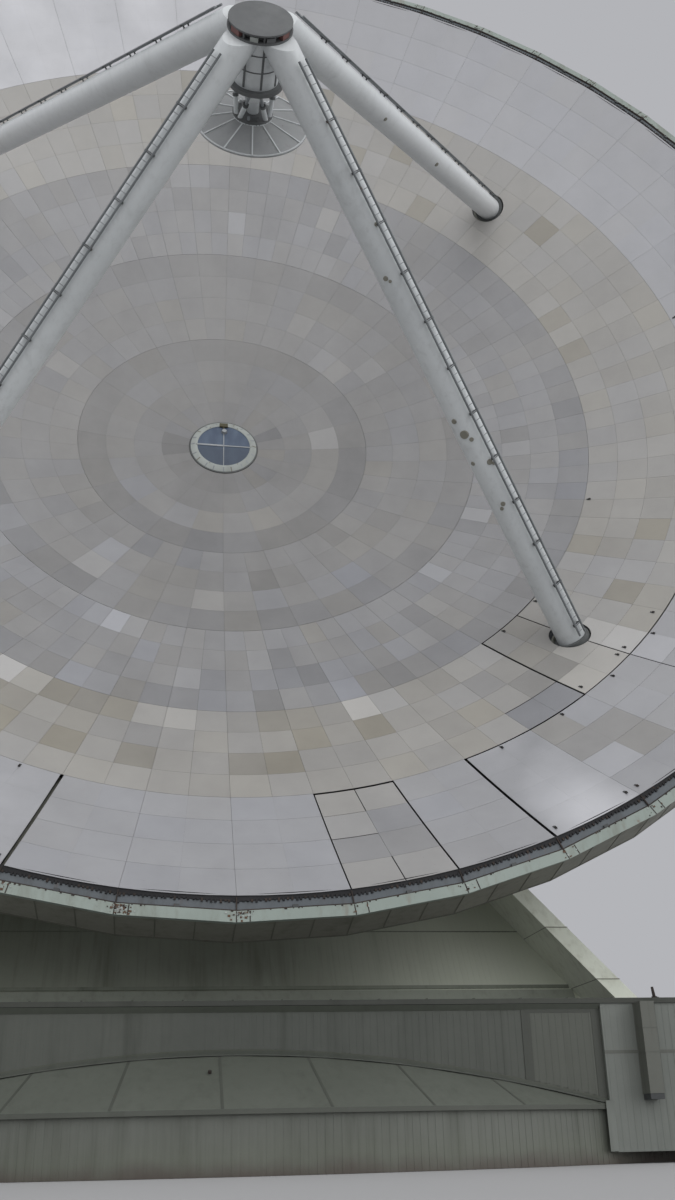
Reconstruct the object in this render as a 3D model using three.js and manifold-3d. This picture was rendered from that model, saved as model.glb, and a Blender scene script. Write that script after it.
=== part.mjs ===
// A steerable radio telescope with a 50 m dish, built as a 1:2 scale model.
// Every size below is in metres of the full-size telescope. The outer group turns
// them into millimetres of the model. The origin is on the ground, on the azimuth
// axis, with +Z up. At rest the dish looks towards -Y, tipped down to 11 degrees.
import * as THREE from 'three';
import { mergeVertices } from 'three/addons/utils/BufferGeometryUtils.js';
import Module from 'manifold-3d';

const wasm = await Module();
wasm.setup();

// Scale and running gaps
const MODEL_MM_PER_METRE = 500;
const SEAT = 0.0006;
const RUNNING = 0.06;
const GEAR_PLAY = 0.02;

// Foundation: a low round drum with a conical skirt roof and a flat deck
const DRUM_RADIUS = 21.1;
const EAVE_RADIUS = 21.25;
const DRUM_HEIGHT = 1.4;
const EAVE_EDGE = 0.12;
const SKIRT_SLOPE = 0.5;
const DECK_RADIUS = 17.6;
const ROUND_SIDES = 48;

// Alidade base: four clad walls, corner towers and a flat roof
const BASE_FRONT = 18.29;
const BASE_SIDE = 17.0;
const WALL_THICK = 0.3;
const ROOF_UNDER = 4.22;
const ROOF_TOP = 4.36;
const ROOF_LIP = 0.06;
const TOWER_INNER_X = 10.6;
const TOWER_INNER_Y = 10.9;
const TOWER_PROUD = 0.14;
const TOWER_FOOT = 0.3;
const TURNTABLE_RADIUS = 14.5;
const DUCT = { near: 11.6, far: 12.02, foot: 1.77, out: 0.55 };

// Alidade pyramid: hips that lean in to the crosshead
const HIP_FOOT = { x: 13.41, y: 15.18 };
const HIP_APEX_Z = 25.95;
const HIP_TOP_Z = 18.8;
const HIP_WIDE = 0.75;
const HIP_DEEP = 2.6;
const GABLE_THICK = 0.3;
const SIDE_GABLE_RECESS = 0.25;
const CROSSHEAD = { x: 5.9, y: 4.9, z0: 16.2, z1: 19.0 };

// Elevation axis, bearings and drive
const ELEVATION_AXIS_Z = 28.75;
const REST_ELEVATION_DEG = 11;
const ARM = { x0: 4.0, x1: 5.7, footHalf: 4.5, topRadius: 1.75 };
const BORE_RADIUS = 1.0;
const GEAR = { x: 1.2, radius: 7.5, from: 2, to: 97, hub: 1.6 };
const GEAR_SLOT = { hub: 1.55, radius: 20, spareDeg: 2 };
const DRIVE = { x: 0.9, y: 1.1 };

// Dish: a paraboloid, measured from the elevation axis along the dish axis
const VERTEX_OUT = 6.0;
const FOCAL_LENGTH = 17.5;
const SEGMENT_DEPTH = 0.32;
const PANEL_GAP = 0.03;
const RING_EDGES = [1.57, 6.54, 11.35, 16.06, 20.58, 25.0];
const SIDE_WALL = { radius: 25.68, depth: 1.88, seat: 0.34 };
const BACKING_HUB = { radius: 7.0, z: 2.5 };
const QUARTER_REACH = 40;
const VERTEX_HOLE = 1.57;
const VERTEX_RING = { hole: 1.22, mouth: 1.3, foot: 1.5, proud: 0.28, under: 0.36, deep: 0.8 };
const VERTEX_WINDOW = { front: 0.24, back: 0.09 };
const BAND = { inner: 25.04, outer: 25.44, front: 0.06 };
const FASCIA = { foot: 25.7, outer: 25.78, front: 0.02 };
const HUB = { x: 3.0, wide: 5.2, neck: 3.0, shoulder: 0.2, back: -4.4 };
const TRUNNION_OUT = 0.3;
const COUNTERWEIGHT = { x: 2.7, y: 2.2, z0: -4.4, z1: -7.4 };

// Feed legs, apex and secondary mirror
const LEG_RADIUS = 0.55;
const LEG_HOLE = 0.76;
const LEG_COLLAR = { radius: 0.7, reach: -0.12 };
const LEG_FOOT_RADIUS = 18.3;
const LEG_TOP_RADIUS = 0.27;
const LEG_TOP = 20.5;
const LEG_ROOT = 0.85;
const LEG_SPARE = 24;
const LEG_SIDES = 16;
const PLATFORM = { radius: 1.08, z0: 20.1, z1: 20.42 };
const CAN = { radius: 0.78, z0: 18.32 };
const APEX_SIDES = 24;
const SECONDARY = { radius: 1.95, edge: 16.62, thick: 0.16, bulge: 0.32, sides: 36 };
const RIB = { bars: 6, half: 0.035, deep: 0.14, reach: 0.97, boss: 0.62, bossDeep: 0.22 };
const HEXAPOD = { low: 0.7, high: 0.95, plate: 0.1, lowPivot: 0.6, highPivot: 0.72, strut: 0.06 };
const HEXAPOD_TURN = { low: 12, high: 48 };
const LADDER = { off: 0.125, half: 0.16, bar: 0.055, rung: 0.05, from: 0.05, to: 22.3, brackets: 8 };
const FIRST_BRACKET = 0.3;

const rad = THREE.MathUtils.degToRad;

const FINISH = {
  concrete: new THREE.MeshStandardMaterial({ color: 0x8d9189, roughness: 0.9, metalness: 0 }),
  roofing: new THREE.MeshStandardMaterial({ color: 0x7d817a, roughness: 0.7, metalness: 0.1 }),
  cladding: new THREE.MeshStandardMaterial({ color: 0x868b84, roughness: 0.6, metalness: 0.2 }),
  trim: new THREE.MeshStandardMaterial({ color: 0xa0a39a, roughness: 0.55, metalness: 0.2 }),
  steel: new THREE.MeshStandardMaterial({ color: 0xb8bab2, roughness: 0.5, metalness: 0.3 }),
  panel: new THREE.MeshStandardMaterial({ color: 0x9c9ca4, roughness: 0.35, metalness: 0.8 }),
  backing: new THREE.MeshStandardMaterial({ color: 0x6f6e66, roughness: 0.6, metalness: 0.3 }),
  fascia: new THREE.MeshStandardMaterial({ color: 0xb9c6bb, roughness: 0.5, metalness: 0.1 }),
  dark: new THREE.MeshStandardMaterial({ color: 0x3c4044, roughness: 0.6, metalness: 0.5 }),
  window: new THREE.MeshStandardMaterial({ color: 0x4b5d76, roughness: 0.2, metalness: 0.2 }),
};

const alidade = new THREE.Group();
const dish = new THREE.Group();
dish.position.z = ELEVATION_AXIS_Z;
dish.rotation.x = rad(90 - REST_ELEVATION_DEG);
const telescope = new THREE.Group();
telescope.add(alidade, dish);
telescope.scale.setScalar(MODEL_MM_PER_METRE);

function place(group, name, geometry, finish) {
  const mesh = new THREE.Mesh(geometry, FINISH[finish]);
  mesh.name = name;
  group.add(mesh);
}

// Solid modelling helpers

function solid(geometry) {
  const bare = geometry.clone();
  bare.deleteAttribute('normal');
  bare.deleteAttribute('uv');
  const merged = mergeVertices(bare, 1e-5);
  const corners = merged.index.array;
  const kept = [];
  for (let i = 0; i < corners.length; i += 3) {
    const [a, b, c] = [corners[i], corners[i + 1], corners[i + 2]];
    if (a !== b && b !== c && a !== c) kept.push(a, b, c);
  }
  return new wasm.Manifold(new wasm.Mesh({
    numProp: 3,
    vertProperties: Float32Array.from(merged.attributes.position.array),
    triVerts: Uint32Array.from(kept),
  }));
}

function surface(manifold) {
  const mesh = manifold.getMesh();
  const geometry = new THREE.BufferGeometry();
  geometry.setAttribute('position', new THREE.BufferAttribute(mesh.vertProperties, 3));
  geometry.setIndex(new THREE.BufferAttribute(mesh.triVerts, 1));
  geometry.computeVertexNormals();
  return geometry;
}

function box(x0, x1, y0, y1, z0, z1) {
  const geometry = new THREE.BoxGeometry(x1 - x0, y1 - y0, z1 - z0);
  return geometry.translate((x0 + x1) / 2, (y0 + y1) / 2, (z0 + z1) / 2);
}

// A four-sided block between a rectangle low down and one higher up
function leaning(low, high) {
  const geometry = new THREE.BoxGeometry(1, 1, 1);
  const at = geometry.attributes.position;
  for (let i = 0; i < at.count; i += 1) {
    const end = at.getZ(i) > 0 ? high : low;
    const x = at.getX(i) > 0 ? end.x1 : end.x0;
    const y = at.getY(i) > 0 ? end.y1 : end.y0;
    at.setXYZ(i, x, y, end.z);
  }
  return geometry;
}

// Turns a closed outline of [radius, height] about the Z axis
function turned(outline, sides = ROUND_SIDES) {
  const points = outline.map(([r, z]) => new THREE.Vector2(r, z));
  const onAxis = outline[0][0] === 0 && outline.at(-1)[0] === 0;
  if (!onAxis) points.push(points[0].clone());
  return new THREE.LatheGeometry(points, sides).rotateX(Math.PI / 2);
}

// Extrudes an outline of [y, z] points along X, from x0 to x1, round a hole
function extrudedX(outline, x0, x1, hole) {
  const shape = new THREE.Shape(outline.map(([y, z]) => new THREE.Vector2(y, z)));
  if (hole) shape.holes.push(new THREE.Path(hole.map(([y, z]) => new THREE.Vector2(y, z))));
  const geometry = new THREE.ExtrudeGeometry(shape, { depth: x1 - x0, bevelEnabled: false });
  // The outline's first axis becomes Y, its second Z, and the depth X
  const turn = new THREE.Matrix4().set(0, 0, 1, x0, 1, 0, 0, 0, 0, 1, 0, 0, 0, 0, 0, 1);
  return geometry.applyMatrix4(turn);
}

function arc(radius, fromDeg, toDeg, steps) {
  const points = [];
  for (let i = 0; i <= steps; i += 1) {
    const a = rad(fromDeg + ((toDeg - fromDeg) * i) / steps);
    points.push([radius * Math.cos(a), radius * Math.sin(a)]);
  }
  return points;
}

// A round bar between two points
function bar(from, to, radius, sides = 8) {
  const along = new THREE.Vector3().subVectors(to, from);
  const geometry = new THREE.CylinderGeometry(radius, radius, along.length(), sides);
  const turn = new THREE.Quaternion().setFromUnitVectors(
    new THREE.Vector3(0, 1, 0), along.clone().normalize());
  geometry.applyQuaternion(turn);
  const middle = new THREE.Vector3().addVectors(from, to).multiplyScalar(0.5);
  return geometry.translate(middle.x, middle.y, middle.z);
}

const halfTurn = (geometry) => geometry.clone().rotateZ(Math.PI);

// Foundation

function skirtHeight(radius) {
  return DRUM_HEIGHT + EAVE_EDGE + SKIRT_SLOPE * (EAVE_RADIUS - radius);
}

function foundation() {
  place(telescope, 'foundation_wall', turned([
    [0, 0], [DRUM_RADIUS, 0], [DRUM_RADIUS, DRUM_HEIGHT - SEAT], [0, DRUM_HEIGHT - SEAT],
  ]), 'concrete');
  place(telescope, 'skirt_roof', turned([
    [0, DRUM_HEIGHT], [EAVE_RADIUS, DRUM_HEIGHT], [EAVE_RADIUS, DRUM_HEIGHT + EAVE_EDGE],
    [DECK_RADIUS, skirtHeight(DECK_RADIUS)], [0, skirtHeight(DECK_RADIUS)],
  ]), 'roofing');
}

// The space that the foundation needs when the alidade turns round it
function foundationClearance() {
  const wide = EAVE_RADIUS + RUNNING;
  const top = skirtHeight(DECK_RADIUS) + RUNNING;
  return solid(turned([
    [0, -1], [wide, -1], [wide, DRUM_HEIGHT + EAVE_EDGE + RUNNING], [DECK_RADIUS, top], [0, top],
  ], ROUND_SIDES * 2));
}

// Alidade base

function baseWalls() {
  const clear = foundationClearance();
  const top = ROOF_UNDER - SEAT;
  const inX = TOWER_INNER_X - SEAT;
  const inY = TOWER_INNER_Y - SEAT;
  const walls = {
    base_wall_front: box(-inX, inX, -BASE_FRONT, -BASE_FRONT + WALL_THICK, 0, top),
    base_wall_back: box(-inX, inX, BASE_FRONT - WALL_THICK, BASE_FRONT, 0, top),
    base_wall_right: box(BASE_SIDE - WALL_THICK, BASE_SIDE, -inY, inY, 0, top),
    base_wall_left: box(-BASE_SIDE, -BASE_SIDE + WALL_THICK, -inY, inY, 0, top),
  };
  for (const [name, geometry] of Object.entries(walls)) {
    place(alidade, name, surface(solid(geometry).subtract(clear)), 'cladding');
  }
}

function cornerTowers() {
  const clear = foundationClearance();
  const outX = BASE_SIDE + TOWER_PROUD;
  const outY = BASE_FRONT + TOWER_PROUD;
  const top = ROOF_UNDER - SEAT;
  for (const [side, sx] of [['right', 1], ['left', -1]]) {
    for (const [end, sy] of [['front', -1], ['back', 1]]) {
      const [x0, x1] = [sx * TOWER_INNER_X, sx * outX].sort((a, b) => a - b);
      const [y0, y1] = [sy * TOWER_INNER_Y, sy * outY].sort((a, b) => a - b);
      const block = solid(box(x0, x1, y0, y1, TOWER_FOOT, top));
      place(alidade, `corner_tower_${end}_${side}`, surface(block.subtract(clear)), 'cladding');
    }
  }
}

function baseRoof() {
  const lip = TOWER_PROUD + ROOF_LIP;
  const x = BASE_SIDE + lip;
  const y = BASE_FRONT + lip;
  place(alidade, 'base_roof', box(-x, x, -y, y, ROOF_UNDER, ROOF_TOP), 'trim');
  place(alidade, 'turntable', turned([
    [0, skirtHeight(DECK_RADIUS) + SEAT], [TURNTABLE_RADIUS, skirtHeight(DECK_RADIUS) + SEAT],
    [TURNTABLE_RADIUS, ROOF_UNDER - SEAT], [0, ROOF_UNDER - SEAT],
  ]), 'steel');
  const face = -(BASE_FRONT + TOWER_PROUD + SEAT);
  const duct = (x0, x1) => box(x0, x1, face - DUCT.out, face, DUCT.foot, ROOF_UNDER - SEAT);
  place(alidade, 'duct_right', duct(DUCT.near, DUCT.far), 'trim');
  place(alidade, 'duct_left', duct(-DUCT.far, -DUCT.near), 'trim');
}

// Alidade pyramid

// The outer front edge of a hip at a height, as distances from the azimuth axis
function hipEdge(z) {
  const up = (HIP_APEX_Z - z) / (HIP_APEX_Z - ROOF_TOP);
  return { x: HIP_FOOT.x * up, y: HIP_FOOT.y * up };
}

function hips() {
  const head = solid(box(-CROSSHEAD.x - SEAT, CROSSHEAD.x + SEAT, -CROSSHEAD.y - SEAT,
    CROSSHEAD.y + SEAT, CROSSHEAD.z0 - SEAT, CROSSHEAD.z1));
  for (const [side, sx] of [['right', 1], ['left', -1]]) {
    for (const [end, sy] of [['front', -1], ['back', 1]]) {
      const rect = (z) => {
        const edge = hipEdge(z);
        const xs = [sx * (edge.x - HIP_WIDE), sx * edge.x].sort((a, b) => a - b);
        const ys = [sy * (edge.y - HIP_DEEP), sy * edge.y].sort((a, b) => a - b);
        return { x0: xs[0], x1: xs[1], y0: ys[0], y1: ys[1], z };
      };
      const block = solid(leaning(rect(ROOF_TOP + SEAT), rect(HIP_TOP_Z)));
      place(alidade, `hip_${end}_${side}`, surface(block.subtract(head)), 'steel');
    }
  }
}

function gables() {
  const z0 = ROOF_TOP + SEAT;
  const z1 = CROSSHEAD.z0 - SEAT;
  const across = (z) => {
    const edge = hipEdge(z);
    const x = edge.x - HIP_WIDE - SEAT;
    const y = -(edge.y - HIP_DEEP);
    return { x0: -x, x1: x, y0: y, y1: y + GABLE_THICK, z };
  };
  const along = (z) => {
    const edge = hipEdge(z);
    const x = edge.x - SIDE_GABLE_RECESS;
    const y = edge.y - HIP_DEEP - SEAT;
    return { x0: x - GABLE_THICK, x1: x, y0: -y, y1: y, z };
  };
  const front = leaning(across(z0), across(z1));
  const right = leaning(along(z0), along(z1));
  place(alidade, 'gable_front', front, 'cladding');
  place(alidade, 'gable_back', halfTurn(front), 'cladding');
  place(alidade, 'gable_right', right, 'cladding');
  place(alidade, 'gable_left', halfTurn(right), 'cladding');
  place(alidade, 'crosshead', box(-CROSSHEAD.x, CROSSHEAD.x, -CROSSHEAD.y, CROSSHEAD.y,
    CROSSHEAD.z0, CROSSHEAD.z1), 'steel');
}

// Yoke arms, each with a bore for a trunnion, and the elevation drive

function yoke() {
  const foot = CROSSHEAD.z1 + SEAT;
  const round = arc(ARM.topRadius, 0, 180, 16).map(([y, z]) => [y, z + ELEVATION_AXIS_Z]);
  const outline = [[-ARM.footHalf, foot], [ARM.footHalf, foot], ...round];
  const bore = arc(BORE_RADIUS, 0, 360, ROUND_SIDES).slice(0, -1)
    .map(([y, z]) => [y, z + ELEVATION_AXIS_Z]);
  place(alidade, 'yoke_arm_right', extrudedX(outline, ARM.x0, ARM.x1, bore), 'steel');
  place(alidade, 'yoke_arm_left', extrudedX(outline, -ARM.x1, -ARM.x0, bore), 'steel');
  const reach = ELEVATION_AXIS_Z - GEAR.radius - GEAR_PLAY;
  place(alidade, 'elevation_drive', box(-DRIVE.x, DRIVE.x, -DRIVE.y, DRIVE.y, foot, reach), 'dark');
}

// Dish: the reflector

const dishZ = (radius) => VERTEX_OUT + radius ** 2 / (4 * FOCAL_LENGTH);

// The face that carries the segments, straight from one ring's edge to the next
function carrierZ(radius) {
  const next = Math.max(1, RING_EDGES.findIndex((edge) => edge >= radius));
  const [a, b] = [RING_EDGES[next - 1], RING_EDGES[next]];
  const low = dishZ(a) - SEGMENT_DEPTH;
  const high = dishZ(b) - SEGMENT_DEPTH;
  return low + ((high - low) * (radius - a)) / (b - a);
}

// The face that carries the segments and, outside them, the pieces of the rim
const rimSeat = () => dishZ(RING_EDGES.at(-1)) - SIDE_WALL.seat;

function ringOutline(inner, outer) {
  const middle = (inner + outer) / 2;
  return [
    [inner, carrierZ(inner) + SEAT], [outer, carrierZ(outer) + SEAT],
    [outer, dishZ(outer)], [middle, dishZ(middle)], [inner, dishZ(inner)],
  ];
}

function legPoint(turn, along) {
  const foot = new THREE.Vector3(0, -LEG_FOOT_RADIUS, dishZ(LEG_FOOT_RADIUS));
  const top = new THREE.Vector3(0, -LEG_TOP_RADIUS, VERTEX_OUT + LEG_TOP);
  const way = new THREE.Vector3().subVectors(top, foot).normalize();
  return foot.addScaledVector(way, along).applyAxisAngle(new THREE.Vector3(0, 0, 1), rad(turn));
}

const LEG_TURNS = { lower_right: 45, upper_right: 135, upper_left: 225, lower_left: 315 };

function legSockets(radius) {
  return Object.values(LEG_TURNS).map((turn) => solid(
    bar(legPoint(turn, -LEG_ROOT - SEAT), legPoint(turn, LEG_SPARE), radius, LEG_SIDES)));
}

function reflector() {
  for (let ring = 1; ring < RING_EDGES.length; ring += 1) {
    const inner = RING_EDGES[ring - 1] + PANEL_GAP / 2;
    const outer = RING_EDGES[ring] - PANEL_GAP / 2;
    let body = solid(turned(ringOutline(inner, outer)));
    if (ring === 4) {
      for (const socket of legSockets(LEG_HOLE)) body = body.subtract(socket);
    }
    place(dish, `panel_ring_${ring}`, surface(body), 'panel');
  }
}

function backing() {
  const wall = SIDE_WALL.radius;
  const outline = [
    [VERTEX_HOLE, BACKING_HUB.z], [BACKING_HUB.radius, BACKING_HUB.z],
    [wall, dishZ(RING_EDGES.at(-1)) - SIDE_WALL.depth], [wall, rimSeat()],
    [RING_EDGES.at(-1), rimSeat()], ...RING_EDGES.toReversed().map((r) => [r, carrierZ(r)]),
  ];
  let whole = solid(turned(outline));
  for (const socket of legSockets(LEG_COLLAR.radius + SEAT)) whole = whole.subtract(socket);
  const quarters = { lower_right: 0, upper_right: 90, upper_left: 180, lower_left: 270 };
  for (const [name, turn] of Object.entries(quarters)) {
    const far = QUARTER_REACH;
    const cut = box(SEAT, far, -far, -SEAT, -far, far).rotateZ(rad(turn));
    place(dish, `backing_${name}`, surface(whole.intersect(solid(cut))), 'backing');
  }
}

function rimAndVertex() {
  const rim = dishZ(RING_EDGES.at(-1));
  const foot = rimSeat() + SEAT;
  place(dish, 'rim_band', turned([
    [BAND.inner, foot], [BAND.outer, foot], [BAND.outer, rim - BAND.front], [BAND.inner, rim - BAND.front],
  ]), 'backing');
  place(dish, 'rim_fascia', turned([
    [BAND.outer + SEAT, foot], [FASCIA.foot, foot],
    [FASCIA.outer, rim + FASCIA.front], [BAND.outer + SEAT, rim],
  ]), 'fascia');
  const face = dishZ(RING_EDGES[0]);
  place(dish, 'vertex_ring', turned([
    [VERTEX_RING.hole, face - VERTEX_RING.deep], [VERTEX_HOLE - SEAT, face - VERTEX_RING.deep],
    [VERTEX_HOLE - SEAT, face - VERTEX_RING.under], [VERTEX_RING.foot, face - VERTEX_RING.under],
    [VERTEX_RING.foot, face], [VERTEX_RING.mouth, face + VERTEX_RING.proud],
    [VERTEX_RING.hole, face + VERTEX_RING.proud],
  ]), 'trim');
  const edge = VERTEX_RING.hole - SEAT;
  place(dish, 'vertex_window', turned([
    [0, face + VERTEX_WINDOW.back], [edge, face + VERTEX_WINDOW.back],
    [edge, face + VERTEX_WINDOW.front], [0, face + VERTEX_WINDOW.front],
  ]), 'window');
}

// Dish: the hub between the yoke arms, with its gear and counterweight

function hub() {
  const top = BACKING_HUB.z - SEAT;
  const body = solid(extrudedX([
    [-HUB.wide, top], [-HUB.neck, HUB.shoulder], [-HUB.neck, HUB.back], [HUB.neck, HUB.back],
    [HUB.neck, HUB.shoulder], [HUB.wide, top],
  ], -HUB.x, HUB.x));
  const radius = BORE_RADIUS * Math.cos(Math.PI / ROUND_SIDES) - SEAT;
  const length = 2 * (ARM.x1 + TRUNNION_OUT);
  const shaft = new THREE.CylinderGeometry(radius, radius, length, ROUND_SIDES);
  shaft.rotateZ(Math.PI / 2);
  const cut = gearOutline(GEAR_SLOT.hub, GEAR_SLOT.radius, GEAR_SLOT.spareDeg);
  const slot = solid(extrudedX(cut, -GEAR.x - SEAT, GEAR.x + SEAT));
  place(dish, 'hub_housing', surface(body.subtract(slot).add(solid(shaft))), 'steel');
}

// A sector about the elevation axis. Its angles run from the dish's foot round to its back.
function gearOutline(inner, outer, spareDeg) {
  const sector = (radius, from, to, steps) => arc(radius, from, to, steps)
    .map(([y, z]) => [-y, -z]);
  return [
    ...sector(outer, GEAR.from - spareDeg, GEAR.to + spareDeg, 30),
    ...sector(inner, GEAR.to + spareDeg, GEAR.from - spareDeg, 8),
  ];
}

function elevationGear() {
  const outline = gearOutline(GEAR.hub, GEAR.radius, 0);
  place(dish, 'elevation_gear', extrudedX(outline, -GEAR.x, GEAR.x), 'steel');
}

function counterweights() {
  for (const [side, sx] of [['right', 1], ['left', -1]]) {
    const [x0, x1] = [sx * (GEAR.x + SEAT), sx * COUNTERWEIGHT.x].sort((a, b) => a - b);
    place(dish, `counterweight_${side}`, box(x0, x1, -COUNTERWEIGHT.y, COUNTERWEIGHT.y,
      COUNTERWEIGHT.z1, COUNTERWEIGHT.z0 - SEAT), 'steel');
  }
}

// Feed legs, with their ladders, and the apex

function feedLegs() {
  const under = VERTEX_OUT + PLATFORM.z0 - SEAT;
  const wide = LEG_FOOT_RADIUS;
  const ceiling = solid(box(-wide, wide, -wide, wide, under, under + LEG_SPARE));
  const can = disc(CAN.radius + SEAT, 0, under + LEG_SPARE);
  for (const [name, turn] of Object.entries(LEG_TURNS)) {
    const root = legPoint(turn, -LEG_ROOT);
    const tube = solid(bar(root, legPoint(turn, LEG_SPARE), LEG_RADIUS, LEG_SIDES));
    const ring = legPoint(turn, LEG_COLLAR.reach);
    const collar = solid(bar(root, ring, LEG_COLLAR.radius, LEG_SIDES));
    place(dish, `feed_leg_${name}`, surface(tube.add(collar).subtract(ceiling).subtract(can)), 'steel');
  }
}

function ladders() {
  const flat = LEG_RADIUS * Math.cos(Math.PI / LEG_SIDES);
  for (const [name, turn] of Object.entries(LEG_TURNS)) {
    const a = legPoint(turn, LADDER.from);
    const b = legPoint(turn, LADDER.to);
    const along = new THREE.Vector3().subVectors(b, a).normalize();
    const side = new THREE.Vector3(0, 0, 1).cross(along).normalize();
    const out = new THREE.Vector3().crossVectors(along, side);
    const rail = (across) => solid(bar(
      a.clone().addScaledVector(out, flat + LADDER.off).addScaledVector(side, across),
      b.clone().addScaledVector(out, flat + LADDER.off).addScaledVector(side, across),
      LADDER.bar, 4));
    let body = rail(-LADDER.half).add(rail(LADDER.half));
    for (let i = 0; i < LADDER.brackets; i += 1) {
      const at = a.clone().lerp(b, (i + FIRST_BRACKET) / LADDER.brackets);
      const rung = (s) => at.clone().addScaledVector(out, flat + LADDER.off)
        .addScaledVector(side, s * LADDER.half);
      const stub = at.clone().addScaledVector(out, flat - LADDER.bar);
      body = body.add(solid(bar(rung(-1), rung(1), LADDER.rung, 4)));
      body = body.add(solid(bar(stub, rung(0), LADDER.rung, 4)));
    }
    const leg = solid(bar(legPoint(turn, 0), legPoint(turn, LEG_SPARE), LEG_RADIUS + SEAT, LEG_SIDES));
    place(dish, `ladder_${name}`, surface(body.subtract(leg)), 'steel');
  }
}

function apex() {
  const z = (w) => VERTEX_OUT + w;
  place(dish, 'apex_platform', turned([
    [0, z(PLATFORM.z0)], [PLATFORM.radius, z(PLATFORM.z0)],
    [PLATFORM.radius, z(PLATFORM.z1)], [0, z(PLATFORM.z1)],
  ], APEX_SIDES), 'dark');
  place(dish, 'apex_can', turned([
    [0, z(CAN.z0)], [CAN.radius, z(CAN.z0)],
    [CAN.radius, z(PLATFORM.z0) - SEAT], [0, z(PLATFORM.z0) - SEAT],
  ], APEX_SIDES), 'steel');
  const edge = z(SECONDARY.edge);
  const back = edge + SECONDARY.thick;
  const r = SECONDARY.radius;
  place(dish, 'secondary_mirror', turned([
    [0, edge - SECONDARY.bulge], [r * 0.5, edge - SECONDARY.bulge * 0.75], [r, edge],
    [r, back], [0, back],
  ], SECONDARY.sides), 'dark');
  let ribs = disc(RIB.boss, back + SEAT, back + RIB.bossDeep);
  const reach = r * RIB.reach;
  for (let i = 0; i < RIB.bars; i += 1) {
    const rib = box(-reach, reach, -RIB.half, RIB.half, back + SEAT, back + RIB.deep);
    ribs = ribs.add(solid(rib.rotateZ((Math.PI * i) / RIB.bars)));
  }
  place(dish, 'secondary_ribs', surface(ribs), 'steel');
  place(dish, 'hexapod', surface(hexapod(back + RIB.bossDeep + SEAT, z(CAN.z0) - SEAT)), 'dark');
}

const disc = (radius, z0, z1) => solid(turned(
  [[0, z0], [radius, z0], [radius, z1], [0, z1]], APEX_SIDES));

// Six struts, in three pairs, between a small plate and a wide one
function hexapod(z0, z1) {
  const plate = HEXAPOD.plate;
  let body = disc(HEXAPOD.low, z0, z0 + plate).add(disc(HEXAPOD.high, z1 - plate, z1));
  const pivot = (radius, deg, z) => new THREE.Vector3(
    radius * Math.cos(rad(deg)), radius * Math.sin(rad(deg)), z);
  for (let pair = 0; pair < 3; pair += 1) {
    for (const side of [-1, 1]) {
      const low = pivot(HEXAPOD.lowPivot, 120 * pair + side * HEXAPOD_TURN.low, z0 + plate / 2);
      const high = pivot(HEXAPOD.highPivot, 120 * pair + side * HEXAPOD_TURN.high, z1 - plate / 2);
      body = body.add(solid(bar(low, high, HEXAPOD.strut, 6)));
    }
  }
  return body;
}

foundation();
baseWalls();
cornerTowers();
baseRoof();
hips();
gables();
yoke();
reflector();
backing();
rimAndVertex();
hub();
elevationGear();
counterweights();
feedLegs();
ladders();
apex();

export default telescope;
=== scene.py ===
# The looks of a steerable radio telescope with a 50 m dish, a 1:2 scale model.
# Sizes are in metres of the full-size telescope. TELESCOPE, DISH and AXLE bring them into
# the model's frame: +Z up, the ground at zero, the dish looking towards -Y at rest.
# Only the finishes, the camera's reach and the floor are in metres of the model itself.
import math
import random
from contextlib import contextmanager
from itertools import product
from types import SimpleNamespace as Sizes

import bmesh
import bpy
from mathutils import Matrix, Vector


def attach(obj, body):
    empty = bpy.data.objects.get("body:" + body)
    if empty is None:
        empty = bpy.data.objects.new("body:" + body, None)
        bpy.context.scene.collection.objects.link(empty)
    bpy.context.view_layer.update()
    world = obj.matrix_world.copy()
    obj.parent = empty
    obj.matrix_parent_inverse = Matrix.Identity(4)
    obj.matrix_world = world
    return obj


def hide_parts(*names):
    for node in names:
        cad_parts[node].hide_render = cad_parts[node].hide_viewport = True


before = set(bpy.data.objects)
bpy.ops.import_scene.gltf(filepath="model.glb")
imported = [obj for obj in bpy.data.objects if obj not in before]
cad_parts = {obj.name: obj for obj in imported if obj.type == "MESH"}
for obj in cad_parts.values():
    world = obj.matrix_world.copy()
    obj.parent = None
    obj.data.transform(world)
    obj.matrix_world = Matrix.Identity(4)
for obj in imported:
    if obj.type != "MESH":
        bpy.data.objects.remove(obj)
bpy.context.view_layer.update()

# Scale, and the frames of the base, the dish and the elevation axle
MODEL_SCALE = 0.5
AXIS_Z = 28.75
REST_ELEVATION_DEG = 11
TELESCOPE = Matrix.Scale(MODEL_SCALE, 4)
AXIS = TELESCOPE @ Matrix.Translation((0, 0, AXIS_Z))
DISH = AXIS @ Matrix.Rotation(math.radians(90 - REST_ELEVATION_DEG), 4, "X")
AXLE = AXIS @ Matrix.Rotation(math.pi / 2, 4, "Y")
FRAMES = {"foundation": TELESCOPE, "alidade": TELESCOPE, "dish": DISH}
UP = (0, 0, 1)
FRONT = (0, -1, 0)

# Foundation and alidade base
DRUM = Sizes(radius=21.1, high=1.4)
EAVE = Sizes(radius=21.25, edge=0.12)
SKIRT_SLOPE = 0.5
DECK_RADIUS = 17.6
BASE = Sizes(x=17.0, y=18.29)
ROOF_UNDER = 4.22
ROOF_TOP = 4.36
TOWER = Sizes(x=10.6, y=10.9, proud=0.14, foot=0.3, seam=2.85, seam_high=0.09)
ARCH_CLEARANCE = 0.06
REVEAL_X = 8.39

# Alidade pyramid: a hip's outer corner at the roof, its size, and where the hips meet.
# Pairs are along X and Y.
HIP_FOOT = Vector((13.41, 15.18))
HIP_SIZE = (0.75, 2.6)
HIP_APEX_Z = 25.95
SIDE_GABLE_RECESS = 0.25
CROSSHEAD = Sizes(x=5.9, y=4.9, z0=16.2, z1=19.0)

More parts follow.
